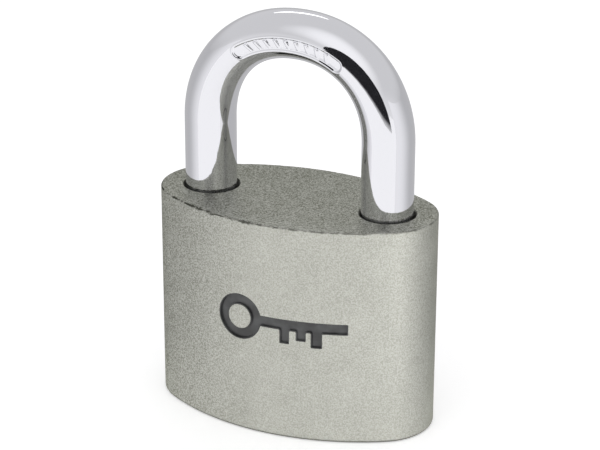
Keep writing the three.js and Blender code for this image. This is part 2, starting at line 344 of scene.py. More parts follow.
def carve(target: Object, *tools: Object, how: Carve = Carve.CUT) -> Object:
    """Cuts, keeps or joins a piece with tools, which are used up.

    Args:
        target: The piece to change.
        tools: Closed meshes.
        how: What each tool does.

    Returns:
        The same piece, with its new mesh.
    """
    for tool in tools:
        step = target.modifiers.new("carve", "BOOLEAN")
        step.operation = how.value
        step.solver = "MANIFOLD"
        step.object = tool
    graph = bpy.context.evaluated_depsgraph_get()
    old = target.data
    target.data = bpy.data.meshes.new_from_object(target.evaluated_get(graph))
    target.data.name = target.name
    target.modifiers.clear()
    bpy.data.meshes.remove(old)
    for tool in tools:
        bpy.data.meshes.remove(tool.data)
    return target


def coil_rings(length: float, wire: float, diameter: float, turns: float, sides: int = 10) -> np.ndarray:
    """Rings of points along a compression spring with closed ends, wound up the Z axis from zero.

    At turn a the wire's middle lies at radius R, at the angle a, and at a height that grows by one wire
    thickness a turn over the first and last turn, and evenly between them.

    Args:
        length: The spring's length over its wire, in millimetres.
        wire: The wire's diameter.
        diameter: The spring's outer diameter.
        turns: Turns in all.
        sides: Points round the wire.

    Returns:
        (rings, sides, 3) places.
    """
    steps = int(turns * TURN_STEPS)
    a = np.linspace(0, 2 * np.pi * turns, steps + 1)
    knots = 2 * np.pi * np.array([0, 1, turns - 1, turns])
    closed = wire * CLOSED_RISE
    heights = np.array([0, closed, length - wire - closed, length - wire]) + wire / 2
    z = np.interp(a, knots, heights)
    radius = (diameter - wire) / 2
    centre = np.stack([radius * np.cos(a), radius * np.sin(a), z], axis=-1)
    along = np.gradient(centre, axis=0)
    along /= np.linalg.norm(along, axis=1, keepdims=True)
    out = np.stack([np.cos(a), np.sin(a), np.zeros_like(a)], axis=-1)
    side = np.cross(along, out)
    b = np.arange(sides) * (2 * np.pi / sides)
    ring = out[:, None] * np.cos(b)[:, None] + side[:, None] * np.sin(b)[:, None]
    return centre[:, None] + ring * (wire / 2)


def coil(name: str, axis: Axis, start: np.ndarray, rings: np.ndarray) -> Object:
    """Lays a spring's rings along an axis.

    Args:
        name: The object's name.
        axis: The direction the spring runs in.
        start: Where it starts, in millimetres.
        rings: The rings that coil_rings gives.

    Returns:
        The new object.
    """
    return skin(name, np.array(start, float) + rings @ np.array(axis.value, float))


# ---------------------------------------------------------------------------------------------------
# Finishes
# ---------------------------------------------------------------------------------------------------


def linear(hex_colour: str) -> Colour:
    """Turns an sRGB hex colour into the linear colour that shaders take.

    Args:
        hex_colour: Six hex digits.

    Returns:
        Linear red, green and blue, and an alpha of 1.
    """
    parts = [int(hex_colour[i : i + 2], 16) / 255 for i in (0, 2, 4)]
    flat = [p / 12.92 if p <= 0.04045 else ((p + 0.055) / 1.055) ** 2.4 for p in parts]
    return (*flat, 1.0)


def fill(tree: NodeTree, node: Node, inputs: dict) -> None:
    """Fills a node's inputs.

    Args:
        tree: The node's tree.
        node: The node.
        inputs: For each input's name or number, another node's output to link, or a value to set.
    """
    for key, value in inputs.items():
        if isinstance(value, NodeSocket):
            tree.links.new(value, node.inputs[key])
        else:
            node.inputs[key].default_value = value


def add_node(
    tree: NodeTree, kind: str, inputs: dict | None = None, **settings: object
) -> Node:
    """Adds one node with its settings, and fills its inputs.

    Args:
        tree: The material's node tree.
        kind: The node's type.
        inputs: What fill is given.
        settings: The node's own properties.

    Returns:
        The new node.
    """
    node = tree.nodes.new(kind)
    for key, value in settings.items():
        setattr(node, key, value)
    fill(tree, node, inputs or {})
    return node


def new_material(name: str) -> tuple[Material, NodeTree, Node]:
    """A material with only its Principled shader and output.

    Args:
        name: The material's name.

    Returns:
        The material, its tree and its Principled shader.
    """
    material = bpy.data.materials.new(name)
    material.use_nodes = True
    tree = material.node_tree
    tree.nodes.clear()
    shader = add_node(tree, "ShaderNodeBsdfPrincipled")
    add_node(tree, "ShaderNodeOutputMaterial", {"Surface": shader.outputs[0]})
    return material, tree, shader


def per_metre(size_mm: float) -> float:
    """The scale of a pattern on Object coordinates whose features are this many millimetres apart."""
    return 1.0 / (size_mm * MM)


def noise(
    tree: NodeTree, place: NodeSocket, size_mm: float, detail: float = 2.0
) -> NodeSocket:
    """Even random mottling.

    Args:
        tree: The material's node tree.
        place: Object coordinates.
        size_mm: How far apart its spots are.
        detail: How many finer layers it has.

    Returns:
        A value about 0.5 at each point.
    """
    inputs = {"Vector": place, "Scale": per_metre(size_mm), "Detail": detail}
    return add_node(tree, "ShaderNodeTexNoise", inputs).outputs["Fac"]


def spread(
    tree: NodeTree,
    value: NodeSocket,
    seen: Span,
    made: Span = RISING,
    curve: Curve = Curve.EVEN,
) -> NodeSocket:
    """Maps a value from one range to another, and keeps it there.

    Args:
        tree: The material's node tree.
        value: The value to map.
        seen: The range it is read over.
        made: The range it becomes.
        curve: How it goes from one end to the other.

    Returns:
        The mapped value.
    """
    ranges = {"From Min": seen[0], "From Max": seen[1], "To Min": made[0], "To Max": made[1]}
    inputs = {"Value": value, **ranges}
    return add_node(tree, "ShaderNodeMapRange", inputs, interpolation_type=curve.value).outputs[0]


def combined(
    tree: NodeTree,
    first: NodeSocket,
    second: NodeSocket | float,
    step: Step = Step.PLUS,
) -> NodeSocket:
    """Joins two values by one step of arithmetic.

    Args:
        tree: The material's node tree.
        first: One value.
        second: The other value.
        step: What is done with them.

    Returns:
        The result.
    """
    return add_node(tree, "ShaderNodeMath", {0: first, 1: second}, operation=step.value).outputs[0]


def part_of(tree: NodeTree, vector: NodeSocket, axis: Axis) -> NodeSocket:
    """A direction's or a place's part along one axis."""
    return add_node(tree, "ShaderNodeSeparateXYZ", {0: vector}).outputs[axis.name]


def towards(tree: NodeTree, way: NodeSocket, goal: Vector) -> NodeSocket:
    """How squarely a direction points to a goal, as their dot product."""
    faced = add_node(tree, "ShaderNodeVectorMath", {0: way, 1: goal}, operation="DOT_PRODUCT")
    return faced.outputs["Value"]


def blend_colours(
    tree: NodeTree,
    factor: NodeSocket,
    first: NodeSocket | Colour,
    second: NodeSocket | Colour,
) -> NodeSocket:
    """Blends two colours.

    Args:
        tree: The material's node tree.
        factor: 0 for the first colour, to 1 for the second.
        first: A colour, or the socket that gives it.
        second: The same.

    Returns:
        The blended colour.
    """
    inputs = {0: factor, 6: first, 7: second}
    return add_node(tree, "ShaderNodeMix", inputs, data_type="RGBA").outputs[2]


def bump(
    tree: NodeTree,
    height: NodeSocket,
    depth_mm: float,
    over: NodeSocket | None = None,
) -> NodeSocket:
    """A relief too fine to model.

    Args:
        tree: The material's node tree.
        height: 0 to 1 at each point.
        depth_mm: The real depth that 1 stands for, negative where it is cut in.
        over: The normal of the relief that it lies on, or none for the bare surface.

    Returns:
        The normal for the shader.
    """
    inputs = {"Height": height, "Distance": abs(depth_mm) * MM, "Strength": 1.0}
    if over is not None:
        inputs["Normal"] = over
    return add_node(tree, "ShaderNodeBump", inputs, invert=depth_mm < 0).outputs[0]


@dataclass(frozen=True)
class SatinNickelIron:
    """Bead-blasted satin nickel plate over cast iron.

    The blasting leaves pits a third of a millimetre across, which break its reflection into a soft grey
    sparkle. They stand out most on the flats and round the toe end, where the plate is thinnest. The top
    and underside were milled before plating, which leaves faint pale arcs along the front. The top rim
    is nicked, with painted shade all along it, and the bottom edge is darkened with painted shade.
    """

    light: str = "cbcbc5"
    dark: str = "75766b"
    ridge: str = "d4d5ce"
    edge: str = "aeb1a4"
    bare_and_painted_shade: str = "45463f"
    metallic: float = 0.9
    roughness: Span = (0.54, 0.59)
    flat_smoother: float = 0.15
    # The pits: how far apart, how deep, and how strongly they show on the faces and on the flats.
    grit_mm: float = 0.3
    grit_seen: Span = (0.36, 0.64)
    pit_depth_mm: float = 0.02
    faces_share: float = 0.3
    flats_share: float = 1.1
    toe_end: Span = (-0.7, -0.05)
    # The slow mottling of the plate's tone.
    mottle_mm: float = 5.0
    mottle_seen: Span = (0.3, 0.7)
    mottle_tone: Span = (0.46, 0.54)
    # The milling: how upright a surface is from the rounded edge to the flat, where the arcs fade out
    # behind the front edge in metres, and how patchy they are.
    edge_to_flat: Span = (0.97, 0.995)
    mill_pitch_mm: float = 0.9
    mill_depth_mm: float = 0.09
    mill_line: Span = (0.55, 0.95)
    mill_reach: Span = (-0.0145, -0.009)
    mill_fade: Span = (1.0, 0.15)
    patch_mm: float = 2.4
    patch_seen: Span = (0.42, 0.6)
    patch_share: Span = (0.1, 1.0)
    ridge_share: float = 0.75
    # The darkening: a rim band of real nicks with painted shade all along it lies between these upward
    # shares of the surface's direction, and so does the painted shade along the base.
    side_to_rim: Span = (0.12, 0.4)
    rim_to_top: Span = (0.93, 0.995)
    nick_mm: float = 1.7
    nick_seen: Span = (0.4, 0.54)
    nick_share: Span = (0.15, 1.0)
    toe_to_heel: Span = (-0.02, 0.03)
    heel_share: Span = (1.0, 0.5)
    base_to_side: Span = (-0.7, -0.1)
    base_share: Span = (0.8, 0.0)
    floor_to_base: Span = (-0.995, -0.95)

    def wear_and_painted_shade(
        self, tree: NodeTree, place: NodeSocket, upward: NodeSocket
    ) -> NodeSocket:
        """Where the plate is darkened: real nicks along the top rim with painted shade all along it, and
        painted shade all along the bottom edge.

        Both are found by how far the surface faces upwards, since only the two rounded edges face
        between the sides and the flats.

        Args:
            tree: The material's node tree.
            place: Object coordinates.
            upward: The height part of the surface's direction.

        Returns:
            0 where it is untouched, to 1 where it is darkest.
        """
        past_side = spread(tree, upward, self.side_to_rim)
        short_of_top = spread(tree, upward, self.rim_to_top, FALLING)
        rim = combined(tree, past_side, short_of_top, Step.TIMES)
        # The rim band: the nicks' share never falls below 0.15, so a faint painted shade runs all along the
        # rim between the real nicks.
        nicks = spread(tree, noise(tree, place, self.nick_mm, 5.0), self.nick_seen, self.nick_share)
        toeward = spread(tree, part_of(tree, place, Axis.X), self.toe_to_heel, self.heel_share)
        nicked = combined(tree, nicks, toeward, Step.TIMES)
        # Painted shade along the bottom edge, strongest where the fillet turns down towards the floor, and
        # none on the flat underside.
        painted_base_shade_ramp = spread(tree, upward, self.base_to_side, self.base_share)
        off_floor = spread(tree, upward, self.floor_to_base)
        base = combined(tree, painted_base_shade_ramp, off_floor, Step.TIMES)
        return combined(tree, combined(tree, rim, nicked, Step.TIMES), base)

    def milling(
        self, tree: NodeTree, place: NodeSocket, level: NodeSocket, arc_y: float
    ) -> NodeSocket:
        """The cutter's arcs on the flats, which run along the front edge in patches.

        Args:
            tree: The material's node tree.
            place: Object coordinates.
            level: 1 on a flat, 0 elsewhere.
            arc_y: How far behind the middle the arcs are struck from, in millimetres.

        Returns:
            0 between the arcs, to 1 on one.
        """
        struck = {"Vector": place, "Location": (0, -arc_y * MM, 0)}
        wave = {
            "Vector": add_node(tree, "ShaderNodeMapping", struck).outputs[0],
            "Scale": per_metre(self.mill_pitch_mm) * WAVE_UNIT,
            "Distortion": 3.0,
            "Detail": 3.0,
            "Detail Scale": 1.5,
        }
        rings = add_node(tree, "ShaderNodeTexWave", wave, wave_type="RINGS", rings_direction="Z")
        lines = spread(tree, rings.outputs["Fac"], self.mill_line)
        fade = spread(tree, part_of(tree, place, Axis.Y), self.mill_reach, self.mill_fade)
        patches = spread(tree, noise(tree, place, self.patch_mm), self.patch_seen, self.patch_share)
        faded = combined(tree, level, fade, Step.TIMES)
        return combined(tree, combined(tree, lines, faded, Step.TIMES), patches, Step.TIMES)

    @cache
    def material(self, arc_y: float) -> Material:
        """Makes the finish.

        Args:
            arc_y: How far behind the middle the front face's arc is struck from, in millimetres.

        Returns:
            The material.
        """
        made, tree, shader = new_material("satin_nickel_on_iron")
        place = add_node(tree, "ShaderNodeTexCoord").outputs["Object"]
        facing = add_node(tree, "ShaderNodeNewGeometry").outputs["Normal"]
        upward = part_of(tree, facing, Axis.Z)
        level = spread(tree, combined(tree, upward, 0.0, Step.SIZE), self.edge_to_flat)

        grit = noise(tree, place, self.grit_mm, 3.0)
        toe_share = spread(tree, part_of(tree, facing, Axis.X), self.toe_end, (1.0, self.faces_share))
        flat_share = combined(tree, level, self.flats_share, Step.TIMES)
        speckle = combined(tree, toe_share, flat_share, Step.GREATER)
        specks = combined(tree, spread(tree, grit, self.grit_seen, (-0.5, 0.5)), speckle, Step.TIMES)
        mottle = noise(tree, place, self.mottle_mm)
        tone = combined(tree, specks, spread(tree, mottle, self.mottle_seen, self.mottle_tone))
        plate = blend_colours(tree, tone, linear(self.dark), linear(self.light))

        milled = self.milling(tree, place, level, arc_y)
        ridges = combined(tree, milled, self.ridge_share, Step.TIMES)
        scored = blend_colours(tree, ridges, plate, linear(self.ridge))
        # This dark colour paints the rim's nicks and its painted shade, and the painted shade along the
        # bottom edge.
        colour = blend_colours(tree, self.wear_and_painted_shade(tree, place, upward), scored, linear(self.bare_and_painted_shade))
        relief = bump(tree, milled, -self.mill_depth_mm, bump(tree, grit, self.pit_depth_mm))
        satin = spread(tree, mottle, self.mottle_seen, self.roughness)
        smoother = combined(tree, level, self.flat_smoother, Step.TIMES)
        look = {
            "Base Color": colour,
            "Normal": relief,
            "Roughness": combined(tree, satin, smoother, Step.LESS),
            "Metallic": self.metallic,
            "Specular Tint": linear(self.edge),
        }
        fill(tree, shader, look)
        return made


@dataclass(frozen=True)
class PolishedChrome:
    """Bright chrome plate on a buffed steel bar.

    The buffing leaves a very slight unevenness a few millimetres across that makes the edges of its
    reflections waver, and hairlines too fine to see singly.
    """

    colour: str = "e6e6ea"
    roughness: Span = (0.025, 0.06)
    waver_mm: float = 4.5
    waver_detail: float = 1.5
    waver_depth_mm: float = 0.032
    hairline_mm: float = 0.8
    hairline_seen: Span = (0.35, 0.65)

    @cache
    def material(self) -> Material:
        """Makes the finish."""
        made, tree, shader = new_material("polished_chrome_plate")
        place = add_node(tree, "ShaderNodeTexCoord").outputs["Object"]
        waver = noise(tree, place, self.waver_mm, self.waver_detail)
        hairline = noise(tree, place, self.hairline_mm, 3.0)
        tree.links.new(bump(tree, waver, self.waver_depth_mm), shader.inputs["Normal"])
        smoky = spread(tree, hairline, self.hairline_seen, self.roughness)
        look = {
            "Roughness": smoky,
            "Base Color": linear(self.colour),
            "Metallic": 1.0,
        }
        fill(tree, shader, look)
        return made


@dataclass(frozen=True)
class TurnedMetal:
    """Bar stock turned on a lathe: fine rings round its axis, and a thin dulling film."""

    name: str
    light: str
    dark: str
    roughness: float
    axis: Axis = Axis.Z
    feed_mm: float = 0.22
    depth_mm: float = 0.004
    film_mm: float = 2.6
    film_seen: Span = (0.35, 0.68)
    duller: Span = (-0.05, 0.1)
    duller_seen: Span = (0.3, 0.7)
    grain_mm: float = 0.4

    @cache
    def material(self) -> Material:
        """Makes the finish."""
        made, tree, shader = new_material(self.name)
        place = add_node(tree, "ShaderNodeTexCoord").outputs["Object"]
        film = noise(tree, place, self.film_mm, 4.0)
        tone = spread(tree, film, self.film_seen)
        colour = blend_colours(tree, tone, linear(self.light), linear(self.dark))
        wave = {
            "Vector": place,
            "Scale": per_metre(self.feed_mm) * WAVE_UNIT,
            "Distortion": 0.6,
            "Detail": 2.0,
        }
        bands = self.axis.name
        rings = add_node(tree, "ShaderNodeTexWave", wave, wave_type="BANDS", bands_direction=bands)
        relief = combined(tree, rings.outputs["Fac"], noise(tree, place, self.grain_mm))
        dullness = (self.roughness + self.duller[0], self.roughness + self.duller[1])
        look = {
            "Base Color": colour,
            "Normal": bump(tree, relief, self.depth_mm),
            "Roughness": spread(tree, film, self.duller_seen, dullness),
            "Metallic": 1.0,
        }
        fill(tree, shader, look)
        return made


@dataclass(frozen=True)
class BlackEnamel:
    """Glossy black enamel run into an engraved mark, a little thin and grey where it has shrunk."""

    deep: str = "171717"
    thin: str = "303131"
    roughness: float = 0.34
    gloss: float = 0.3
    pool_mm: float = 3.2
    pool_seen: Span = (0.38, 0.66)
    ripple_mm: float = 1.6
    ripple_depth_mm: float = 0.02

    @cache
    def material(self) -> Material:
        """Makes the finish."""
        made, tree, shader = new_material("black_enamel_fill")
        place = add_node(tree, "ShaderNodeTexCoord").outputs["Object"]
        pooled = spread(tree, noise(tree, place, self.pool_mm), self.pool_seen)
        colour = blend_colours(tree, pooled, linear(self.deep), linear(self.thin))
        ripple = bump(tree, noise(tree, place, self.ripple_mm), self.ripple_depth_mm)
        look = {
            "Base Color": colour,
            "Normal": ripple,
            "Roughness": self.roughness,
            "Coat Weight": self.gloss,
        }
        fill(tree, shader, look)
        return made


@dataclass(frozen=True)
class LightTable:
    """White translucent acrylic, lit a little from beneath."""

    colour: str = "f4f4f4"
    glow: float = 0.37
    roughness: float = 0.9
    specular: float = 0.1

    @cache
    def material(self) -> Material:
        """Makes the finish."""
        made, tree, shader = new_material("white_acrylic_table")
        look = {
            "Base Color": linear(self.colour),
            "Roughness": self.roughness,
            "Specular IOR Level": self.specular,
            "Emission Color": (1, 1, 1, 1),
            "Emission Strength": self.glow,
        }
        fill(tree, shader, look)
        return made


BRASS = {
    axis: TurnedMetal(f"turned_brass_{axis.name.lower()}", "d8b968", "a5823f", 0.3, axis) for axis in Axis
}
STEEL = {
    axis: TurnedMetal(f"turned_steel_{axis.name.lower()}", "b9bbbd", "85878a", 0.3, axis) for axis in Axis
}
SPRING_WIRE = TurnedMetal("drawn_spring_wire", "a9abb0", "6f7176", 0.26, Axis.Z, 0.5, 0.002)


def finish_piece(
    piece: Object, material: Material, slot: Slot, *nodes: str
) -> Object:
    """Shades a piece smoothly, dresses it and says which CAD nodes it stands for.

    Args:
        piece: The finished mesh.
        material: Its finish.
        slot: The record's material slot; not used.
        nodes: The CAD nodes that it replaces.

    Returns:
        The same piece.
    """
    mesh = piece.data
    mesh.polygons.foreach_set("use_smooth", np.ones(len(mesh.polygons), bool))
    mesh.set_sharp_from_angle(angle=SMOOTH_LIMIT)
    weighted = piece.modifiers.new("even_normals", "WEIGHTED_NORMAL")
    weighted.keep_sharp = True
    mesh.materials.clear()
    mesh.materials.append(material)
    if nodes:
        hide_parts(*nodes)
    LOG.info("%s: %d faces, stands for %s", piece.name, len(mesh.polygons), ", ".join(nodes) or "no node")
    return piece


@dataclass(frozen=True)
class CoilSpring:
    """A wound spring, made where its CAD node lies between the casting and the body that it pushes."""

    wire: float
    turns: float
    axis: Axis = Axis.X
    sides: int = 10

    def build(self, name: str, node: str, centre: np.ndarray, pushed: str, forward: bool = True) -> None:
        """Winds it where its CAD node is.

        Args:
            name: The piece's name.
            node: The CAD node that it replaces.
            centre: The point of its axis where the distance along it is zero, in millimetres.
            pushed: The frame body that it pushes; not used.
            forward: Whether it pushes along its axis, or back along it; not used.
        """
        low, high = box_mm(node)
        along = np.array(self.axis.value[2], float)
        start, end = centre + along * (low @ along), centre + along * (high @ along)
        rings = coil_rings((high - low) @ along, self.wire, high[1] - low[1], self.turns, self.sides)
        spring = coil(name, self.axis, start, rings)
        finish_piece(spring, SPRING_WIRE.material(), Slot.SPRING, node)
        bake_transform(spring)


# ---------------------------------------------------------------------------------------------------
# The lock body
# ---------------------------------------------------------------------------------------------------


@dataclass
class LockBody:
    """The lens-shaped iron casting: two shallow faces joined by round ends, with every bore."""

    end_radius: float = 12.0
    base_fillet: float = 0.8
    rim_fillet: float = 0.32
    bar_diameter: float = 11.2
    leg_play: float = 0.3
    hole_spare: float = 0.15
    hole_shift: float = 0.2
    hole_break: float = 0.22
    hole_foot: float = 0.5
    mouth_edge: float = 0.05
    mouth_rise: float = 0.02
    toe_hole_depth: float = 16.0
    heel_floor: float = 3.0
    plug_play: float = 0.25
    press_gap: float = 0.12
    face_gap: float = 0.15
    bolt_play: float = 0.2
    tail_play: float = 0.5
    plug_mouth: float = 0.25
    flush_drop: float = 0.05
    # The chips along the top rim: their number, their widths in outline steps, and their depths.
    chip_count: int = 260
    chip_widths: Span = (1.0, 5.5)
    chip_shape: float = 1.6
    chip_scale: float = 0.06
    chip_deepest: float = 0.4
    chips_together: float = 0.5
    back_share: float = 0.2
    front_share: float = 0.6
    knock: float = 1.2
    knock_x: float = -12.0
    knock_reach: float = 11.0
    deepest: float = 0.75
    face_points: int = 560
    end_points: int = 240
    fillet_steps: int = 9
    seed: int = 11

    def __post_init__(self) -> None:
        """Reads the body's overall size, and works out where its arcs are struck from."""
        self.half_width, self.half_depth, self.height = box_mm("lock_body")[1]
        self.end_x = self.half_width - self.end_radius
        spare = self.half_depth - self.end_radius
        reach = self.end_x**2 + self.half_depth**2 - self.end_radius**2
        self.face_radius = reach / (2 * spare)
        self.face_y = self.face_radius - self.half_depth
        self.join = math.atan2(-self.face_y, self.end_x)
        self.leg_x = box_mm("shackle")[1][0] - self.bar_diameter / 2
        self.hole_radius = self.bar_diameter / 2 + self.leg_play + self.hole_spare

    def outline(self, inset: np.ndarray | float = 0.0) -> np.ndarray:
        """The lens outline, moved inwards.

        It is four arcs: the front face about (0, face_y), the right end about (end_x, 0), and the same
        two mirrored. An inset shortens each arc's radius, and leaves its centre and angles alone.

        Args:
            inset: How far inwards, the same all round or for each point.

        Returns:
            (n, 2) places, counter-clockwise.
        """
        face = np.arange(self.face_points) / self.face_points
        end = np.arange(self.end_points) / self.end_points
        span = math.pi + 2 * self.join
        radius = np.repeat(
            [self.face_radius, self.end_radius] * 2, [self.face_points, self.end_points] * 2
        )
        angle = np.concatenate(
            [
                -math.pi - self.join + span * face,
                self.join - 2 * self.join * end,
                -self.join + span * face,
                math.pi + self.join - 2 * self.join * end,
            ]
        )
        centre = np.repeat(
            [(0, self.face_y), (self.end_x, 0), (0, -self.face_y), (-self.end_x, 0)],
            [self.face_points, self.end_points] * 2,
            axis=0,
        )
        direction = np.stack([np.cos(angle), np.sin(angle)], axis=-1)
        return centre + direction * (radius - inset)[:, None]

    def rim_chips(self) -> np.ndarray:
        """How much deeper the top rim is broken at each point of the outline.

        Each chip adds a bell-shaped dip about its place on the rim. Most are a tenth of a millimetre
        deep, and a few are four times that. They are deepest on the front towards the toe end, where the
        padlock knocks against its hasp, and much shallower along the back.

        Returns:
            (n,) depths in millimetres.
        """
        count = 2 * (self.face_points + self.end_points)
        draw = np.random.default_rng(self.seed)
        place = draw.uniform(0, count, self.chip_count)
        width = draw.uniform(*self.chip_widths, self.chip_count)
        depth = draw.gamma(self.chip_shape, self.chip_scale, self.chip_count).clip(0, self.chip_deepest)
        away = np.abs(np.arange(count)[:, None] - place)
        away = np.minimum(away, count - away)
        chips = (depth * np.exp(-((away / width) ** 2))).sum(axis=1).clip(0, self.chips_together)
        x, y = self.outline().T
        knocked = self.front_share + self.knock * np.exp(-(((x - self.knock_x) / self.knock_reach) ** 2))
        return (chips * np.where(y < 0, knocked, self.back_share)).clip(0, self.deepest)

    def shell(self) -> Object:
        """The solid body before it is bored.

        Rings of the outline are stacked up: a quarter-round at the base, where the inset is
        f(1 - sin a) at height f(1 - cos a), straight sides, and a quarter-round at the rim whose size
        follows the chips.
        """
        turn = np.linspace(0, np.pi / 2, self.fillet_steps)
        rings = []
        for a in turn:
            ring = self.outline(self.base_fillet * (1 - math.sin(a)))
            rings.append((ring, np.full(len(ring), self.base_fillet * (1 - math.cos(a)))))
        size = self.rim_fillet + self.rim_chips()
        for a in turn[::2]:
            rings.append((self.outline(size * (1 - math.cos(a))), self.height - size * (1 - math.sin(a))))
        stacked = np.stack([np.column_stack([ring, z]) for ring, z in rings])
        return skin("lock_body_casting", stacked)

    def inner_skin(self, inset: float) -> Object:
        """A tool of the body's outline set in by a depth, over its whole height."""
        ring = self.outline(inset)
        levels = [np.column_stack([ring, np.full(len(ring), z)]) for z in (0.0, self.height)]
        return skin("flush_tool", np.stack(levels))

    def leg_hole(self, x: float, floor: float) -> Object:
        """A tool for one leg's hole, with a small break round its mouth.

        The leg stands towards the back left of its hole, so the gap is widest at the front right.

        Args:
            x: The hole's place.
            floor: The height of its bottom.

        Returns:
            The tool.
        """
        top, narrow = self.height, self.hole_radius
        wide = narrow + self.hole_break
        corners = [
            (0, floor, 0),
            (narrow, floor, self.hole_foot),
            (narrow, top - self.hole_break, self.mouth_edge),
            (wide, top + self.mouth_rise, 0),
            (wide, top + PAST, 0),
            (0, top + PAST, 0),
        ]
        middle = np.array([x + self.hole_shift, -self.hole_shift, 0])
        return lathe("leg_hole_tool", Axis.Z, middle, softened(corners), 160)

    def plug_bore(self) -> Object:
        """A tool for the plug's bore, with its broken mouth in the underside."""
        plug_high = box_mm("cylinder_plug")[1]
        narrow, top = plug_high[0] + self.plug_play, plug_high[2] + self.face_gap
        wide = narrow + self.plug_mouth
        corners = [
            (0, -PAST, 0),
            (wide, -PAST, 0),
            (wide, 0, 0),
            (narrow, self.plug_mouth, self.mouth_edge),
            (narrow, top, 0),
            (0, top, 0),
        ]
        return lathe("plug_bore_tool", Axis.Z, np.zeros(3), softened(corners), 128)

    def pressed_bore(self, node: str, start: float, end: float) -> Object:
        """A tool for the hole along X that a pin or a cap is pressed into.

        Args:
            node: The CAD node of the piece in it.
            start: Where it starts.
            end: Where it ends.

        Returns:
            The tool.
        """
        low, high = box_mm(node)
        centre = (0, *((low + high) / 2)[1:])
        radius = (high - low)[2] / 2 + self.press_gap
        return round_bar(f"{node}_tool", Axis.X, centre, (start, end), radius)

    def bores(self) -> list[Object]:
        """Tools for every hole in the body, each placed from the piece that fits in it."""
        outside = self.half_width + PAST
        plug_top = box_mm("cylinder_plug")[1][2]
        tail_low, tail_high = box_mm("tail_pin")
        tail_reach = math.hypot(*(tail_high + tail_low)[:2] / 2) + (tail_high - tail_low)[0] / 2
        tail_room = tail_reach + self.tail_play
        bolt_low, bolt_high = box_mm("locking_bolt")
        bolt_z = (bolt_low + bolt_high)[2] / 2
        bolt_bore = bolt_high[1] + self.bolt_play
        spring_end = box_mm("bolt_spring")[1][0] + self.face_gap
        heel_pin_start = box_mm("shackle_keeper_pin")[0][0] - self.face_gap
        plug_pin_end = box_mm("plug_keeper_pin")[1][0] + self.face_gap
        caps = [f"chamber_cap_{number}" for number in range(1, PIN_COUNT + 1)]
        return [
            self.leg_hole(-self.leg_x, self.height - self.toe_hole_depth),
            self.leg_hole(self.leg_x, self.heel_floor),
            self.plug_bore(),
            round_bar("tail_room_tool", Axis.Z, (0, 0, 0), (plug_top, bolt_z), tail_room),
            round_bar("bolt_bore_tool", Axis.X, (0, 0, bolt_z), (-outside, spring_end), bolt_bore),
            self.pressed_bore("shackle_keeper_pin", heel_pin_start, outside),
            self.pressed_bore("plug_keeper_pin", -outside, plug_pin_end),
            *(self.pressed_bore(cap, -outside, 0) for cap in caps),
        ]

    def flush_bar(
        self, name: str, node: str, centre: np.ndarray, edge: float, side: int = -1
    ) -> Object:
        """A pressed pin or cap whose outer end is ground flush with the body's curved end.

        Args:
            name: The piece's name.
            node: The CAD node that it stands for.
            centre: The point of its axis at X zero, in millimetres.
            edge: The fillet at its inner rim.
            side: 1 where it comes out at the heel end, -1 at the toe end.

        Returns:
            The piece, without a finish.
        """
        low, high = box_mm(node)
        outside = side * (self.half_width + PAST)
        span = (low[0], outside) if side > 0 else (outside, high[0])
        bar = round_bar(name, Axis.X, centre, span, (high - low)[2] / 2, edge)
        return carve(bar, self.inner_skin(self.flush_drop), how=Carve.KEEP)

    def build(self, finish: SatinNickelIron, mark: "FrontMark") -> Material:
        """Makes the casting, bores it and engraves its mark.

        Args:
            finish: The body's finish.
            mark: The mark on the front face.

        Returns:
            The finish's material, for the pieces that are plated with the body.
        """
        casting = carve(self.shell(), *self.bores())
        carve(casting, mark.tool(self))
        material = finish.material(self.face_y)
        finish_piece(casting, material, Slot.IRON, "lock_body")
        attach(casting, "lock_body")
        return material


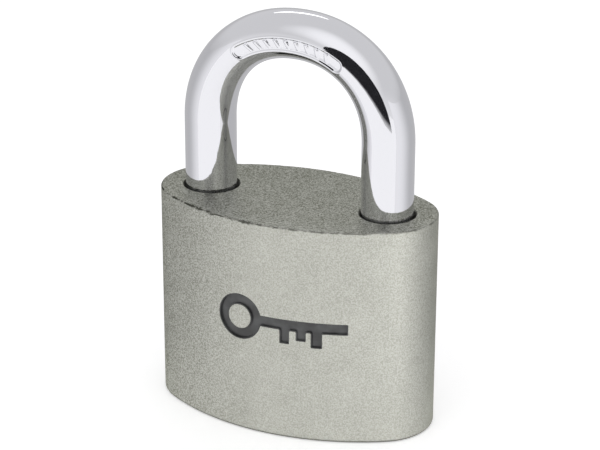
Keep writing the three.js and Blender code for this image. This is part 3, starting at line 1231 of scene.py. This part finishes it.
@dataclass
class FrontMark:
    """A plain key sign engraved in the front face and filled with enamel. It stands for no maker."""

    centre_x: float = 3.7
    centre_z: float = 26.6
    ring_outer: float = 5.2
    ring_inner: float = 2.7
    bar: float = 2.5
    length: float = 29.0
    bits: tuple[Triple, ...] = ((11.6, 2.2, 3.1), (15.2, 2.2, 2.1), (18.6, 2.4, 3.4))
    corner: float = 0.3
    bow_points: int = 90
    hole_points: int = 64
    depth: float = 0.64
    brim: float = 0.04
    sunk: float = 0.5
    lining: float = 0.22
    clearance: float = 0.015

    def key_outline(self) -> np.ndarray:
        """The key's outline in X and Z about the sign's middle, counter-clockwise.

        It runs left along the stem's top, round the bow, and back along the stem's foot by way of each
        bit. A bit is given as its right side's distance from the ring's middle, its width and its drop.
        """
        ring_x = self.ring_outer - self.length / 2
        half = self.bar / 2
        meet = math.asin(half / self.ring_outer)
        a = np.linspace(meet, 2 * np.pi - meet, self.bow_points)
        bow = [(ring_x + self.ring_outer * math.cos(t), self.ring_outer * math.sin(t), 0) for t in a]
        end, c = self.length / 2, self.corner
        corners = [(end, 0, 0), (end, half, c), *bow]
        for right, width, drop in self.bits:
            x, foot = ring_x + right, -half - drop
            corners += [(x - width, -half, c), (x - width, foot, c), (x, foot, c), (x, -half, c)]
        return softened([*corners, (end, -half, c), (end, 0, 0)])[:-1]

    def hole_outline(self) -> np.ndarray:
        """The hole in the key's bow, counter-clockwise."""
        a = np.arange(self.hole_points) * (2 * np.pi / self.hole_points)
        ring_x = self.ring_outer - self.length / 2
        return np.column_stack([ring_x + self.ring_inner * np.cos(a), self.ring_inner * np.sin(a)])

    @staticmethod
    def shrunk(outline: np.ndarray, by: float) -> np.ndarray:
        """Moves each point of a counter-clockwise outline inwards, square to its neighbours' line."""
        along = np.roll(outline, -1, axis=0) - np.roll(outline, 1, axis=0)
        along /= np.linalg.norm(along, axis=1, keepdims=True)
        return outline + by * np.stack([-along[:, 1], along[:, 0]], axis=-1)

    def solid(
        self, name: str, body: LockBody, shrink: float, front: float, back: float
    ) -> Object:
        """The sign as a thin piece that follows the curved face.

        The outline is carried through the front of the body. What lies deeper than the far side is cut
        off, and only what lies deeper than the near side is kept.

        Args:
            name: The piece's name.
            body: The body whose face it follows.
            shrink: How much smaller all round the sign is made.
            front: Depth of its near side behind the face, negative to stand before it.
            back: Depth of its far side.

        Returns:
            The new object.
        """
        place = (self.centre_x, self.centre_z)
        span = (-body.half_depth - PAST, 0)
        key = self.shrunk(self.key_outline(), shrink) + place
        hole = self.shrunk(self.hole_outline(), -shrink) + place
        piece = prism(name, key[::-1, ::-1], Axis.Y, span)
        through = prism("hole_tool", hole[::-1, ::-1], Axis.Y, (span[0] - PAST, span[1] + PAST))
        carve(piece, through, body.inner_skin(back))
        if front > 0:
            carve(piece, body.inner_skin(front), how=Carve.KEEP)
        return piece

    def tool(self, body: LockBody) -> Object:
        """A cutter that runs from before the face down to the engraving's floor."""
        return self.solid("mark_tool", body, 0.0, -PAST, self.depth)

    def build(self, body: LockBody, enamel: BlackEnamel) -> None:
        """Makes the enamel, which climbs the engraving's walls and lies thin on its floor.

        Args:
            body: The body it is in.
            enamel: Its finish.
        """
        fill = self.solid("key_sign_fill", body, self.clearance, self.brim, self.depth - self.clearance)
        carve(fill, self.solid("hollow_tool", body, self.clearance + self.lining, -PAST, self.sunk))
        finish_piece(fill, enamel.material(), Slot.IRON)
        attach(fill, "lock_body")


# ---------------------------------------------------------------------------------------------------
# The shackle
# ---------------------------------------------------------------------------------------------------


@dataclass
class Shackle:
    """The round bar: a short toe leg, a bow that deepens to its crown, and a long heel leg."""

    bar_diameter: float = 11.2
    bow_rise: float = 21.2
    bow_exponent: float = 2.12
    crown_depth: float = 12.0
    crown_thickness: float = 10.4
    leg_chamfer: float = 1.2
    heel_flat: float = 4.0
    slot_play: float = 0.25
    notch_play: float = 0.25
    bolt_travel: float = 3.6
    toe_depth: float = 14.5
    lift: float = 15.5
    # The shallow tablet pressed into the front of the bow, with a row of slanted bars.
    tablet_turn: float = math.radians(-80)
    tablet_half_length: float = 13.6
    tablet_half_width: float = 1.62
    tablet_depth: float = 0.34
    tablet_edge: float = 0.5
    bar_count: int = 9
    bar_pitch: float = 2.35
    bar_half_width: float = 0.38
    bar_slant: float = 0.45
    bar_height: float = 0.2
    bar_edge: float = 0.22
    bar_end: float = 0.62
    bar_end_edge: float = 0.2
    lip_height: float = 0.05
    lip_outside: float = 0.12
    lip_width: float = 0.16
    # Where the rings and their points are laid closer together, for the tablet.
    fine_turn: float = math.radians(30)
    fine_turns: int = 61
    plain_turns: int = 78
    fine_share: Span = (0.27, 0.73)
    fine_rings: int = 240
    plain_rings: int = 46

    def __post_init__(self) -> None:
        """Reads the legs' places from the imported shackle."""
        low, high = box_mm("shackle")
        self.leg_x = high[0] - self.bar_diameter / 2
        self.heel_bottom = low[2]
        self.bow_start = high[2] - self.crown_thickness / 2 - self.bow_rise
        self.body_top = box_mm("lock_body")[1][2]
        self.toe_bottom = self.body_top - self.toe_depth

    def bow(self, t: np.ndarray) -> np.ndarray:
        """The bow's centreline.

        A squared ellipse: x is the leg's distance times |cos(pi t)| to the power 2/n, with the cosine's
        sign, and z rises by bow_rise times sin(pi t) to the same power.

        Args:
            t: 0 at the toe leg to 1 at the heel leg.

        Returns:
            (n, 3) places.
        """
        power = 2 / self.bow_exponent
        across = np.cos(np.pi * t)
        up = np.sin(np.pi * t).clip(0, 1)
        x = -self.leg_x * np.sign(across) * np.abs(across) ** power
        return np.stack([x, np.zeros_like(t), self.bow_start + self.bow_rise * up**power], axis=-1)

    def turns(self) -> np.ndarray:
        """Angles round the bar, closer together across the tablet."""
        reach, middle = self.fine_turn, self.tablet_turn
        fine = middle + np.linspace(-reach, reach, self.fine_turns)
        rest = np.linspace(middle + reach, middle + 2 * np.pi - reach, self.plain_turns)[1:-1]
        return np.concatenate([fine, rest])

    def stations(self) -> np.ndarray:
        """Places along the bow from 0 to 1, closer together along the tablet."""
        start, end = self.fine_share
        before = np.linspace(0, start, self.plain_rings)[1:-1]
        after = np.linspace(end, 1, self.plain_rings)[1:-1]
        return np.concatenate([before, np.linspace(start, end, self.fine_rings), after])

    def relief(self, along: np.ndarray, across: np.ndarray) -> np.ndarray:
        """How far the tablet's surface lies out from the plain bar.

        The tablet is a stadium: a point's distance inside it is its half-width less the distance to the
        middle line. The floor is reached over the edge's width, on a smooth step, and each slanted bar
        rises from the floor on the same kind of step.

        Args:
            along: Distance along the bow from its crown, in millimetres.
            across: Distance across the tablet from its middle line.

        Returns:
            Heights in millimetres, negative where it is sunk.
        """
        past_end = (np.abs(along) - (self.tablet_half_length - self.tablet_half_width)).clip(0)
        inside = self.tablet_half_width - np.hypot(past_end, across)
        sunk = smooth(inside / self.tablet_edge)
        lip = self.lip_height * np.exp(-(((inside + self.lip_outside) / self.lip_width) ** 2))
        slanted = along - self.bar_slant * across
        nearest = np.round(slanted / self.bar_pitch).clip(-(self.bar_count // 2), self.bar_count // 2)
        off_bar = np.abs(slanted - nearest * self.bar_pitch)
        width = smooth((self.bar_half_width - off_bar) / self.bar_edge + 0.5)
        length = smooth((inside - self.bar_end) / self.bar_end_edge + 0.5)
        return lip - self.tablet_depth * sunk + self.bar_height * (width * length)

    def leg(self, side: int, bottom: float) -> tuple[np.ndarray, np.ndarray]:
        """A straight leg's rings, from its rounded end up to the bow's start.

        Args:
            side: -1 for the toe leg, 1 for the heel leg.
            bottom: The height of its end.

        Returns:
            The middle of each ring, and its width.
        """
        cut = self.leg_chamfer
        steps = [(0, cut), (0.25, cut * 0.62), (0.6, cut * 0.3), (cut, 0.03), (cut + 0.3, 0)]
        heights = [*(bottom + rise for rise, _ in steps), self.bow_start]
        insets = np.array([*(inset for _, inset in steps), 0])
        middles = np.array([(side * self.leg_x, 0, z) for z in heights])
        return middles, self.bar_diameter - 2 * insets

    def rings(self) -> np.ndarray:
        """Rings of points from the toe leg's end, over the bow, to the heel leg's end.

        Each ring is an oval about the centreline, square to it: its thickness towards the bow's inside
        and its depth front to back swell from the bar's diameter on a smooth step of sin(pi t).
        """
        turn = self.turns()
        t = self.stations()
        nudge = 1e-3
        middle = self.bow(t)
        along = self.bow((t + nudge).clip(0, 1)) - self.bow((t - nudge).clip(0, 1))
        along /= np.linalg.norm(along, axis=1, keepdims=True)
        swell = smooth(np.sin(np.pi * t))
        thick = self.bar_diameter + (self.crown_thickness - self.bar_diameter) * swell
        deep = self.bar_diameter + (self.crown_depth - self.bar_diameter) * swell

        toe, toe_width = self.leg(-1, self.toe_bottom)
        heel, heel_width = self.leg(1, self.heel_bottom)
        up = np.tile([0.0, 0.0, 1.0], (len(toe), 1))
        middle = np.concatenate([toe, middle, heel[::-1]])
        along = np.concatenate([up, along, -up])
        thick = np.concatenate([toe_width, thick, heel_width[::-1]])
        deep = np.concatenate([toe_width, deep, heel_width[::-1]])
        back = np.array([0.0, 1.0, 0.0])
        inward = np.cross(back, along)

        steps = np.linalg.norm(np.diff(middle, axis=0), axis=1)
        travelled = np.concatenate([[0], np.cumsum(steps)])
        crown = np.interp(0.5, np.concatenate([np.zeros(len(toe)), t, np.ones(len(heel))]), travelled)
        lie = (travelled - crown)[:, None]
        lean = (turn - self.tablet_turn + np.pi) % (2 * np.pi) - np.pi
        height = self.relief(lie, lean * self.crown_thickness / 2)

        outward = np.cos(turn)[None, :, None] * inward[:, None] / thick[:, None, None]
        outward = outward + np.sin(turn)[None, :, None] * back / deep[:, None, None]
        outward /= np.linalg.norm(outward, axis=2, keepdims=True)
        oval = np.cos(turn)[None, :, None] * inward[:, None] * thick[:, None, None] / 2
        oval = oval + np.sin(turn)[None, :, None] * back * deep[:, None, None] / 2
        return middle[:, None] + oval + outward * height[:, :, None]

    def tools(self) -> list[Object]:
        """Cutters for the bolt's notch in the toe leg, and for the heel leg's flat and groove."""
        bolt_low, bolt_high = box_mm("locking_bolt")
        bolt_z = (bolt_low + bolt_high)[2] / 2
        half = (bolt_high - bolt_low)[2] / 2 + self.notch_play
        notch_x = bolt_low[0] - self.bolt_travel - self.notch_play
        wide = self.bar_diameter
        keeper_low, keeper_high = box_mm("shackle_keeper_pin")
        keeper_z = (keeper_low + keeper_high)[2] / 2
        grip = (keeper_high - keeper_low)[2] / 2 + self.slot_play
        groove_z = keeper_z - self.lift
        ring = [(self.heel_flat, -grip), (wide, -grip), (wide, grip), (self.heel_flat, grip)]
        toe_x, heel_x = -self.leg_x, self.leg_x
        flat_low = (heel_x - wide, self.heel_flat, groove_z)
        flat_high = (heel_x + wide, wide, keeper_z + grip)
        return [
            block("notch_tool", (notch_x, -wide, bolt_z - half), (toe_x + wide, wide, bolt_z + half)),
            block("flat_tool", flat_low, flat_high),
            self.ring_tool(np.array([heel_x, 0, groove_z]), np.array(ring)),
        ]

    @staticmethod
    def ring_tool(centre: np.ndarray, profile: np.ndarray, sides: int = 128) -> Object:
        """A hoop: a closed profile of radius and height turned about the Z axis at a centre."""
        a = np.arange(sides) * (2 * np.pi / sides)
        around = np.stack([np.cos(a), np.sin(a), np.zeros_like(a)], axis=-1)
        up = np.array([0, 0, 1.0])
        points = centre + profile[None, :, :1] * around[:, None] + profile[None, :, 1:] * up
        count = len(profile)
        i = np.arange(sides)[:, None]
        j = np.arange(count)[None]
        here, beyond = i * count, ((i + 1) % sides) * count
        after = (j + 1) % count
        quads = np.stack([here + j, beyond + j, beyond + after, here + after], axis=-1).reshape(-1, 4)
        return mesh_object("groove_tool", points.reshape(-1, 3), quads, np.zeros((0, 3), int))

    def build(self, chrome: PolishedChrome) -> None:
        """Makes the shackle.

        Args:
            chrome: Its finish.
        """
        bar = carve(skin("shackle_bar", self.rings()), *self.tools())
        finish_piece(bar, chrome.material(), Slot.CHROME, "shackle")
        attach(bar, "shackle")


def smooth(x: np.ndarray) -> np.ndarray:
    """A smooth step: 0 below 0, 1 above 1, and 3x² - 2x³ between."""
    x = np.clip(x, 0, 1)
    return x * x * (3 - 2 * x)


# ---------------------------------------------------------------------------------------------------
# The works
# ---------------------------------------------------------------------------------------------------


@dataclass
class CylinderPlug:
    """The brass plug with its keyway, its tail pin, and the key pins that ride in it."""

    keyway_width: float = 2.2
    keyway_top: float = -3.2
    keyway_bottom: float = 4.6
    keyway_past: float = 2.6
    ward_width: float = 0.7
    ward_height: float = 1.3
    face_break: float = 0.35
    groove_depth: float = 1.2
    keeper_play: float = 0.15
    pin_play: float = 0.15
    pin_hole_past: float = 1.4
    face_gap: float = 0.15
    press_gap: float = 0.12
    pin_tip: float = 0.7
    pin_butt_edge: float = 0.18
    pin_tip_edge: float = 0.15
    rim_edge: float = 0.1
    top_edge: float = 0.3

    def keyway(self, top: float) -> Object:
        """A tool for the keyway: a tall slot along Y with a ward standing in from each side.

        Args:
            top: The height it is cut to.

        Returns:
            The tool.
        """
        half, ward, rise = self.keyway_width / 2, self.ward_width, self.ward_height
        mid = (self.keyway_top + self.keyway_bottom) / 2
        outline = [
            (-half, self.keyway_top),
            (half, self.keyway_top),
            (half, mid - rise),
            (half - ward, mid - rise),
            (half - ward, mid),
            (half, mid),
            (half, self.keyway_bottom),
            (-half, self.keyway_bottom),
            (-half, mid + rise),
            (ward - half, mid + rise),
            (ward - half, mid + rise / 2),
            (-half, mid + rise / 2),
        ]
        return prism("keyway_tool", np.array(outline), Axis.Z, (-PAST, top))

    def barrel(self, seat: Object, heights: list[float], pin_radius: float) -> Object:
        """The plug itself, turned with its keeper's groove and cut for its keyway and its pins.

        Args:
            seat: A tool for the tail pin's hole.
            heights: The key pins' heights.
            pin_radius: The key pins' radius.

        Returns:
            The plug, without a finish.
        """
        low, high = box_mm("cylinder_plug")
        radius, bottom, top = high[0], low[2], high[2]
        keeper_low, keeper_high = box_mm("plug_keeper_pin")
        keeper_z = (keeper_low + keeper_high)[2] / 2
        half = (keeper_high - keeper_low)[2] / 2 + self.keeper_play
        inner = radius - self.groove_depth
        corners = [
            (0, bottom, 0),
            (radius - self.face_break, bottom, self.rim_edge),
            (radius, bottom + self.face_break, self.rim_edge),
            (radius, keeper_z - half, 0),
            (inner, keeper_z - half, 0),
            (inner, keeper_z + half, 0),
            (radius, keeper_z + half, 0),
            (radius, top, self.top_edge),
            (0, top, 0),
        ]
        plug = lathe("plug_barrel", Axis.Z, np.zeros(3), softened(corners), 144)
        span, hole = (-radius - PAST, self.pin_hole_past), pin_radius + self.pin_play
        holes = [round_bar("pin_hole_tool", Axis.Y, (0, 0, z), span, hole) for z in heights]
        return carve(plug, seat, self.keyway(heights[-1] + self.keyway_past), *holes)

    def build(self) -> None:
        """Makes the plug, its tail pin and its key pins."""
        tail_low, tail_high = box_mm("tail_pin")
        middle = (*((tail_low + tail_high) / 2)[:2], 0)
        tail_radius = (tail_high - tail_low)[0] / 2
        pins = [box_mm(f"key_pin_{number}") for number in range(1, PIN_COUNT + 1)]
        heights = [(pin_low + pin_high)[2] / 2 for pin_low, pin_high in pins]
        pin_radius = (pins[0][1] - pins[0][0])[0] / 2
        seat_span = (tail_low[2] - self.face_gap, box_mm("cylinder_plug")[1][2] + PAST)
        seat = round_bar("seat_tool", Axis.Z, middle, seat_span, tail_radius + self.press_gap)
        plug = self.barrel(seat, heights, pin_radius)
        finish_piece(plug, BRASS[Axis.Z].material(), Slot.BRASS, "cylinder_plug")
        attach(plug, "plug")

        span = (tail_low[2], tail_high[2])
        pin = round_bar("plug_tail_pin", Axis.Z, middle, span, tail_radius, self.top_edge)
        finish_piece(pin, STEEL[Axis.Z].material(), Slot.STEEL, "tail_pin")
        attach(pin, "plug")

        for number, ((pin_low, pin_high), z) in enumerate(zip(pins, heights), 1):
            butt, tip = pin_low[1], pin_high[1]
            corners = [
                (0, butt, 0),
                (pin_radius, butt, self.pin_butt_edge),
                (pin_radius, tip - (pin_radius - self.pin_tip), self.pin_tip_edge),
                (self.pin_tip, tip, self.pin_tip_edge),
                (0, tip, 0),
            ]
            key_pin = lathe(f"bottom_pin_{number}", Axis.Y, np.array([0, 0, z]), softened(corners), 64)
            finish_piece(key_pin, BRASS[Axis.Y].material(), Slot.BRASS, f"key_pin_{number}")
            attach(key_pin, f"key_pin_{number}")


@dataclass
class PinChambers:
    """The driver pins and their springs, in chambers closed by caps at the body's toe end."""

    spring: CoilSpring = CoilSpring(0.42, 9.0, sides=8)
    spool_depth: float = 0.28
    rim: float = 0.9
    shoulder: float = 0.25
    end_edge: float = 0.15
    rim_edge: float = 0.08
    waist_edge: float = 0.1
    cap_edge: float = 0.2

    def spool(self, start: float, end: float, radius: float) -> np.ndarray:
        """A driver pin's profile: a rim at each end, and a waist between them."""
        waist = radius - self.spool_depth
        half = [
            (0, 0, 0),
            (radius, 0, self.end_edge),
            (radius, self.rim, self.rim_edge),
            (waist, self.rim + self.shoulder, self.waist_edge),
        ]
        first = [(r, start + along, edge) for r, along, edge in half]
        last = [(r, end - along, edge) for r, along, edge in reversed(half)]
        return softened(first + last)

    def build(self, body: LockBody, plated: Material) -> None:
        """Makes each chamber's driver pin, spring and cap.

        Args:
            body: The body, for its curved end.
            plated: The finish that the caps are plated with.
        """
        for number in range(1, PIN_COUNT + 1):
            low, high = box_mm(f"driver_pin_{number}")
            middle = np.array([0, 0, (low + high)[2] / 2])
            profile = self.spool(low[0], high[0], (high - low)[2] / 2)
            driver = lathe(f"top_pin_{number}", Axis.X, middle, profile, 64)
            finish_piece(driver, BRASS[Axis.X].material(), Slot.BRASS, f"driver_pin_{number}")
            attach(driver, f"driver_{number}")
            self.spring.build(f"pin_coil_{number}", f"pin_spring_{number}", middle, f"driver_{number}")
            cap_node = f"chamber_cap_{number}"
            cap = body.flush_bar(f"chamber_plug_{number}", cap_node, middle, self.cap_edge)
            finish_piece(cap, plated, Slot.IRON, cap_node)
            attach(cap, "lock_body")


@dataclass
class Bolt:
    """The round spring bolt, the spring behind it and the cap that closes its bore."""

    slot_depth: float = 2.7
    slot_play: float = 0.25
    travel: float = 3.6
    nose_chamfer: float = 1.0
    nose_edge: float = 0.25
    back_edge: float = 0.35
    cap_edge: float = 0.3
    spring: CoilSpring = CoilSpring(0.6, 4.5)

    def build(self, body: LockBody, plated: Material) -> None:
        """Makes the bolt, its spring and its cap.

        Args:
            body: The body, for its curved end.
            plated: The finish that the cap is plated with.
        """
        low, high = box_mm("locking_bolt")
        z, radius = (low + high)[2] / 2, (high - low)[2] / 2
        middle = np.array([0, 0, z])
        corners = [
            (0, low[0], 0),
            (radius - self.nose_chamfer, low[0], self.nose_edge),
            (radius, low[0] + self.nose_chamfer, self.nose_edge),
            (radius, high[0], self.back_edge),
            (0, high[0], 0),
        ]
        bolt = lathe("spring_bolt", Axis.X, middle, softened(corners))
        tail_low, tail_high = box_mm("tail_pin")
        wall = tail_high[0] + self.slot_play
        free = tail_low[0] - self.slot_play - self.travel
        floor, wide = z - radius, 2 * radius
        slot_low, slot_high = (free, -wide, floor - PAST), (wall, wide, floor + self.slot_depth)
        carve(bolt, block("slot_tool", slot_low, slot_high))
        finish_piece(bolt, STEEL[Axis.X].material(), Slot.STEEL, "locking_bolt")
        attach(bolt, "bolt")
        self.spring.build("bolt_coil", "bolt_spring", middle, "bolt", forward=False)
        cap = body.flush_bar("bolt_bore_plug", "bolt_bore_cap", middle, self.cap_edge)
        finish_piece(cap, plated, Slot.IRON, "bolt_bore_cap")
        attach(cap, "lock_body")


@dataclass
class Keepers:
    """The two cross pins that hold the shackle and the plug in, and the shackle's push spring."""

    pin_edge: float = 0.25
    spring: CoilSpring = CoilSpring(1.1, 7.0, Axis.Z, 12)
    # Each pin's CAD node, its piece, and the end of the body that it comes out at.
    pins: tuple[tuple[str, str, int], ...] = (
        ("shackle_keeper_pin", "heel_cross_pin", 1),
        ("plug_keeper_pin", "plug_cross_pin", -1),
    )

    def build(self, body: LockBody) -> None:
        """Makes both pins, ground flush with the body's ends, and the spring.

        Args:
            body: The body, for its curved ends.
        """
        for node, name, side in self.pins:
            low, high = box_mm(node)
            centre = (low + high) / 2 * np.array([0, 1, 1])
            pin = body.flush_bar(name, node, centre, self.pin_edge, side)
            finish_piece(pin, STEEL[Axis.X].material(), Slot.STEEL, node)
            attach(pin, "lock_body")
        self.spring.build("shackle_coil", "shackle_spring", np.array([body.leg_x, 0, 0]), "shackle")


# ---------------------------------------------------------------------------------------------------
# The studio
# ---------------------------------------------------------------------------------------------------


def direction(azimuth: float, elevation: float) -> Vector:
    """The way from the padlock at an azimuth from its front towards +X, and an elevation, in degrees."""
    a, e = math.radians(azimuth), math.radians(elevation)
    return Vector((math.sin(a) * math.cos(e), -math.cos(a) * math.cos(e), math.sin(e)))


@dataclass(frozen=True)
class SoftBox:
    """An oval diffused lamp that faces the padlock."""

    name: str
    azimuth: float
    elevation: float
    distance: float
    width: float
    height: float
    brightness: float

    def build(self, aim: Vector, lit: Collection | None = None) -> None:
        """Adds the lamp. Its power is its brightness times pi times its area.

        Args:
            aim: The point it faces, in metres.
            lit: The only pieces that it lights, or none for all of them.
        """
        data = bpy.data.lights.new(self.name, "AREA")
        data.shape = "ELLIPSE"
        data.size, data.size_y = self.width, self.height
        data.energy = self.brightness * math.pi * self.width * self.height
        light = bpy.data.objects.new(self.name, data)
        way = direction(self.azimuth, self.elevation)
        turn = (-way).to_track_quat("-Z", "Y").to_matrix().to_4x4()
        light.matrix_world = Matrix.Translation(aim + way * self.distance) @ turn
        light.visible_camera = False
        bpy.context.scene.collection.objects.link(light)
        if lit:
            light.light_linking.receiver_collection = lit


@dataclass(frozen=True)
class Card:
    """A card bent round the padlock as part of a cone."""

    name: str
    start: float
    end: float
    low: Span
    high: Span
    domed: bool = False
    steps: int = 48

    def surface(self) -> Object:
        """Makes the card from one azimuth to another, and from its low rim to its high one.

        A domed card's height falls from its middle to its sides as half an oval does.
        """
        a = np.radians(np.linspace(self.start, self.end, self.steps + 1))
        arc = np.stack([np.sin(a), -np.cos(a)], axis=-1)
        aside = np.linspace(-1, 1, len(arc))
        share = np.sqrt(1 - aside**2) if self.domed else np.ones(len(arc))
        rise = self.high[1] - self.low[1]
        rows = [
            np.column_stack([arc * self.low[0], np.full(len(arc), self.low[1])]) / MM,
            np.column_stack([arc * self.high[0], self.low[1] + rise * share]) / MM,
        ]
        i = np.arange(self.steps)
        quads = np.stack([i, i + 1, i + self.steps + 2, i + self.steps + 1], axis=-1)
        card = mesh_object(self.name, np.concatenate(rows), quads, np.zeros((0, 3), int))
        card.visible_camera = False
        return card

    def reflected(self, finish: "BlackVelvet | Glow") -> None:
        """Makes the card so that only reflections see it, and it leaves the table evenly lit."""
        card = self.surface()
        card.visible_shadow = card.visible_diffuse = False
        card.data.materials.append(finish.material())

    def behind(self, finish: "Glow") -> None:
        """Makes the card so that only the camera sees it."""
        card = self.surface()
        card.visible_camera = True
        card.visible_shadow = card.visible_diffuse = card.visible_glossy = False
        card.data.materials.append(finish.material())


def frontness(tree: NodeTree, place: NodeSocket) -> NodeSocket:
    """How far a direction is round to the lit front: 0 behind, 1 in front, on a smooth step.

    Args:
        tree: The node tree.
        place: A place or direction about the padlock.

    Returns:
        The value.
    """
    level = add_node(tree, "ShaderNodeVectorMath", {0: place, 1: (1, 1, 0)}, operation="MULTIPLY")
    unit = add_node(tree, "ShaderNodeVectorMath", {0: level.outputs[0]}, operation="NORMALIZE")
    faced = towards(tree, unit.outputs[0], direction(LIT_FRONT, 0))
    return spread(tree, faced, FRONT_SEEN, curve=Curve.EASED)


@dataclass(frozen=True)
class BlackVelvet:
    """Black velvet, with a painted glow at its foot that stands in for the table's light. The glow fades
    upwards.
    """

    colour: str = "28282b"
    roughness: float = 0.95
    specular: float = 0.1
    foot: Span = (0.0, 0.03)
    painted_foot_glow: Span = (0.7, 0.0)

    def material(self) -> Material:
        """Makes the finish."""
        made, tree, shader = new_material("black_velvet")
        place = add_node(tree, "ShaderNodeTexCoord").outputs["Object"]
        # Painted glow at the card's foot, fading upwards.
        glow = spread(tree, part_of(tree, place, Axis.Z), self.foot, self.painted_foot_glow)
        look = {
            "Emission Strength": glow,
            "Emission Color": (1, 1, 1, 1),
            "Base Color": linear(self.colour),
            "Roughness": self.roughness,
            "Specular IOR Level": self.specular,
        }
        fill(tree, shader, look)
        return made


@dataclass(frozen=True)
class Glow:
    """A surface that only shines, even all round or graded from behind the padlock to its front."""

    name: str
    back: float = 1.0
    front: float = 1.0
    colour: Colour = (1.0, 1.0, 1.0, 1.0)

    def material(self) -> Material:
        """Makes the finish."""
        made, tree, shader = new_material(self.name)
        glow = self.front
        if self.back != self.front:
            place = add_node(tree, "ShaderNodeTexCoord").outputs["Object"]
            glow = spread(tree, frontness(tree, place), RISING, (self.back, self.front))
        look = {
            "Emission Strength": glow,
            "Emission Color": self.colour,
            "Base Color": (0, 0, 0, 1),
            "Specular IOR Level": 0.0,
        }
        fill(tree, shader, look)
        return made


@dataclass(frozen=True)
class Room:
    """Soft grey light from all round: bright low down in front, and round a large diffused lamp."""

    sky: float = 0.73
    back: float = 0.5
    front: float = 0.89
    lamp: float = 0.38
    lamp_at: Span = (18, 46)
    lamp_seen: Span = (0.72, 1.0)
    blend_to: float = 0.42
    colour: Colour = (0.99, 0.99, 1.0, 1.0)

    def build(self) -> None:
        """Makes the world. Its brightness goes smoothly from that of the horizon to that of the sky."""
        world = bpy.data.worlds.new("studio_room")
        world.use_nodes = True
        tree = world.node_tree
        way = add_node(tree, "ShaderNodeTexCoord").outputs["Generated"]
        horizon = spread(tree, frontness(tree, way), RISING, (self.back, self.front))
        rise = spread(tree, part_of(tree, way, Axis.Z), (0.0, self.blend_to), curve=Curve.EASED)
        grade = add_node(tree, "ShaderNodeMix", {0: rise, 2: horizon, 3: self.sky}).outputs[0]
        near = towards(tree, way, direction(*self.lamp_at))
        lamp = spread(tree, near, self.lamp_seen, (0.0, self.lamp), Curve.EASED)
        shade = tree.nodes["Background"]
        tree.links.new(combined(tree, grade, lamp), shade.inputs["Strength"])
        shade.inputs["Color"].default_value = self.colour
        bpy.context.scene.world = world


@dataclass
class Studio:
    """A lit white table in a grey room, with soft boxes, cards and the camera."""

    azimuth: float = 24.76
    elevation: float = 22.24
    roll: float = math.radians(0.21)
    distance: float = 0.4728
    aim: Triple = (0.00053, 0.0, 0.04218)
    lens: float = 132.0
    sharp_between: Span = (0.01, 20.0)
    floor_half: float = 3.0
    rim_box: SoftBox = SoftBox("rim_box", -152, 41, 1.0, 0.46, 0.09, 1.5)
    flag: Card = Card("black_flag", -14, 45, (0.36, 0.0), (0.36, 0.325), domed=True)
    paper: Card = Card("white_backdrop", 0, 360, (2.9, 0.0), (2.9, 2.4))
    reflector: Card = Card("graded_reflector", 62, 318, (0.05, 0.0008), (0.16, 0.105))
    reflector_glow: Glow = Glow("graded_reflector_diffuser", 0.56, 0.98, (0.985, 0.985, 1.0, 1.0))
    top_fill: SoftBox = SoftBox("top_fill", 20, 42, 0.5, 0.45, 0.25, 1.4)
    key_aim: Triple = (0.0, 0.0, 0.0235)
    keys: tuple[SoftBox, ...] = (
        SoftBox("low_key_left", 0, 0, 0.45, 0.37, 0.046, 12.8),
        SoftBox("low_key_middle", 41, 0, 0.45, 0.37, 0.046, 11.4),
        SoftBox("low_key_right", 68, 0, 0.45, 0.31, 0.046, 9.0),
    )

    def camera(self) -> None:
        """Sets the camera on its line of sight, turned by its small roll about that line."""
        back = direction(self.azimuth, self.elevation)
        level = Vector((0, 0, 1)).cross(back).normalized()
        upright = back.cross(level)
        right = level * math.cos(self.roll) + upright * math.sin(self.roll)
        top = back.cross(right)
        data = bpy.data.cameras.new("studio_camera")
        data.lens = self.lens
        data.clip_start, data.clip_end = self.sharp_between
        camera = bpy.data.objects.new("studio_camera", data)
        turn = Matrix((right, top, back)).transposed().to_4x4()
        camera.matrix_world = Matrix.Translation(Vector(self.aim) + back * self.distance) @ turn
        bpy.context.scene.collection.objects.link(camera)
        bpy.context.scene.camera = camera

    def floor(self) -> None:
        """A wide white table top under the padlock, lit from beneath."""
        h = self.floor_half / MM
        corners = np.array([(-h, -h, 0), (h, -h, 0), (h, h, 0), (-h, h, 0)], float)
        sheet = mesh_object("white_floor", corners, np.array([[0, 1, 2, 3]]), np.zeros((0, 3), int))
        sheet.data.materials.append(LightTable().material())

    def build(self) -> Collection:
        """Makes the camera, room, table, lamps and cards.

        Returns:
            The collection that the low key lamps light, for the body's pieces.
        """
        self.camera()
        Room().build()
        self.floor()
        lit = bpy.data.collections.new("key_lit")
        self.rim_box.build(Vector(self.aim))
        self.flag.reflected(BlackVelvet())
        self.paper.behind(Glow("white_backdrop_paper"))
        self.reflector.reflected(self.reflector_glow)
        self.top_fill.build(Vector(self.aim), lit)
        for key in self.keys:
            key.build(Vector(self.key_aim), lit)
        bpy.context.scene.view_settings.view_transform = "Standard"
        return lit


def main() -> None:
    """Builds the padlock and its studio, piece by piece."""
    logging.basicConfig(level=logging.INFO, format="%(name)s %(message)s")
    lit = Studio().build()
    body = LockBody()
    mark = FrontMark()
    plated = body.build(SatinNickelIron(), mark)
    mark.build(body, BlackEnamel())
    Shackle().build(PolishedChrome())
    CylinderPlug().build()
    PinChambers().build(body, plated)
    Bolt().build(body, plated)
    Keepers().build(body)
    for piece in bpy.context.scene.objects:
        if any(slot.material and slot.material.name in KEY_LIT for slot in piece.material_slots):
            lit.objects.link(piece)


if __name__ == "__main__":
    main()
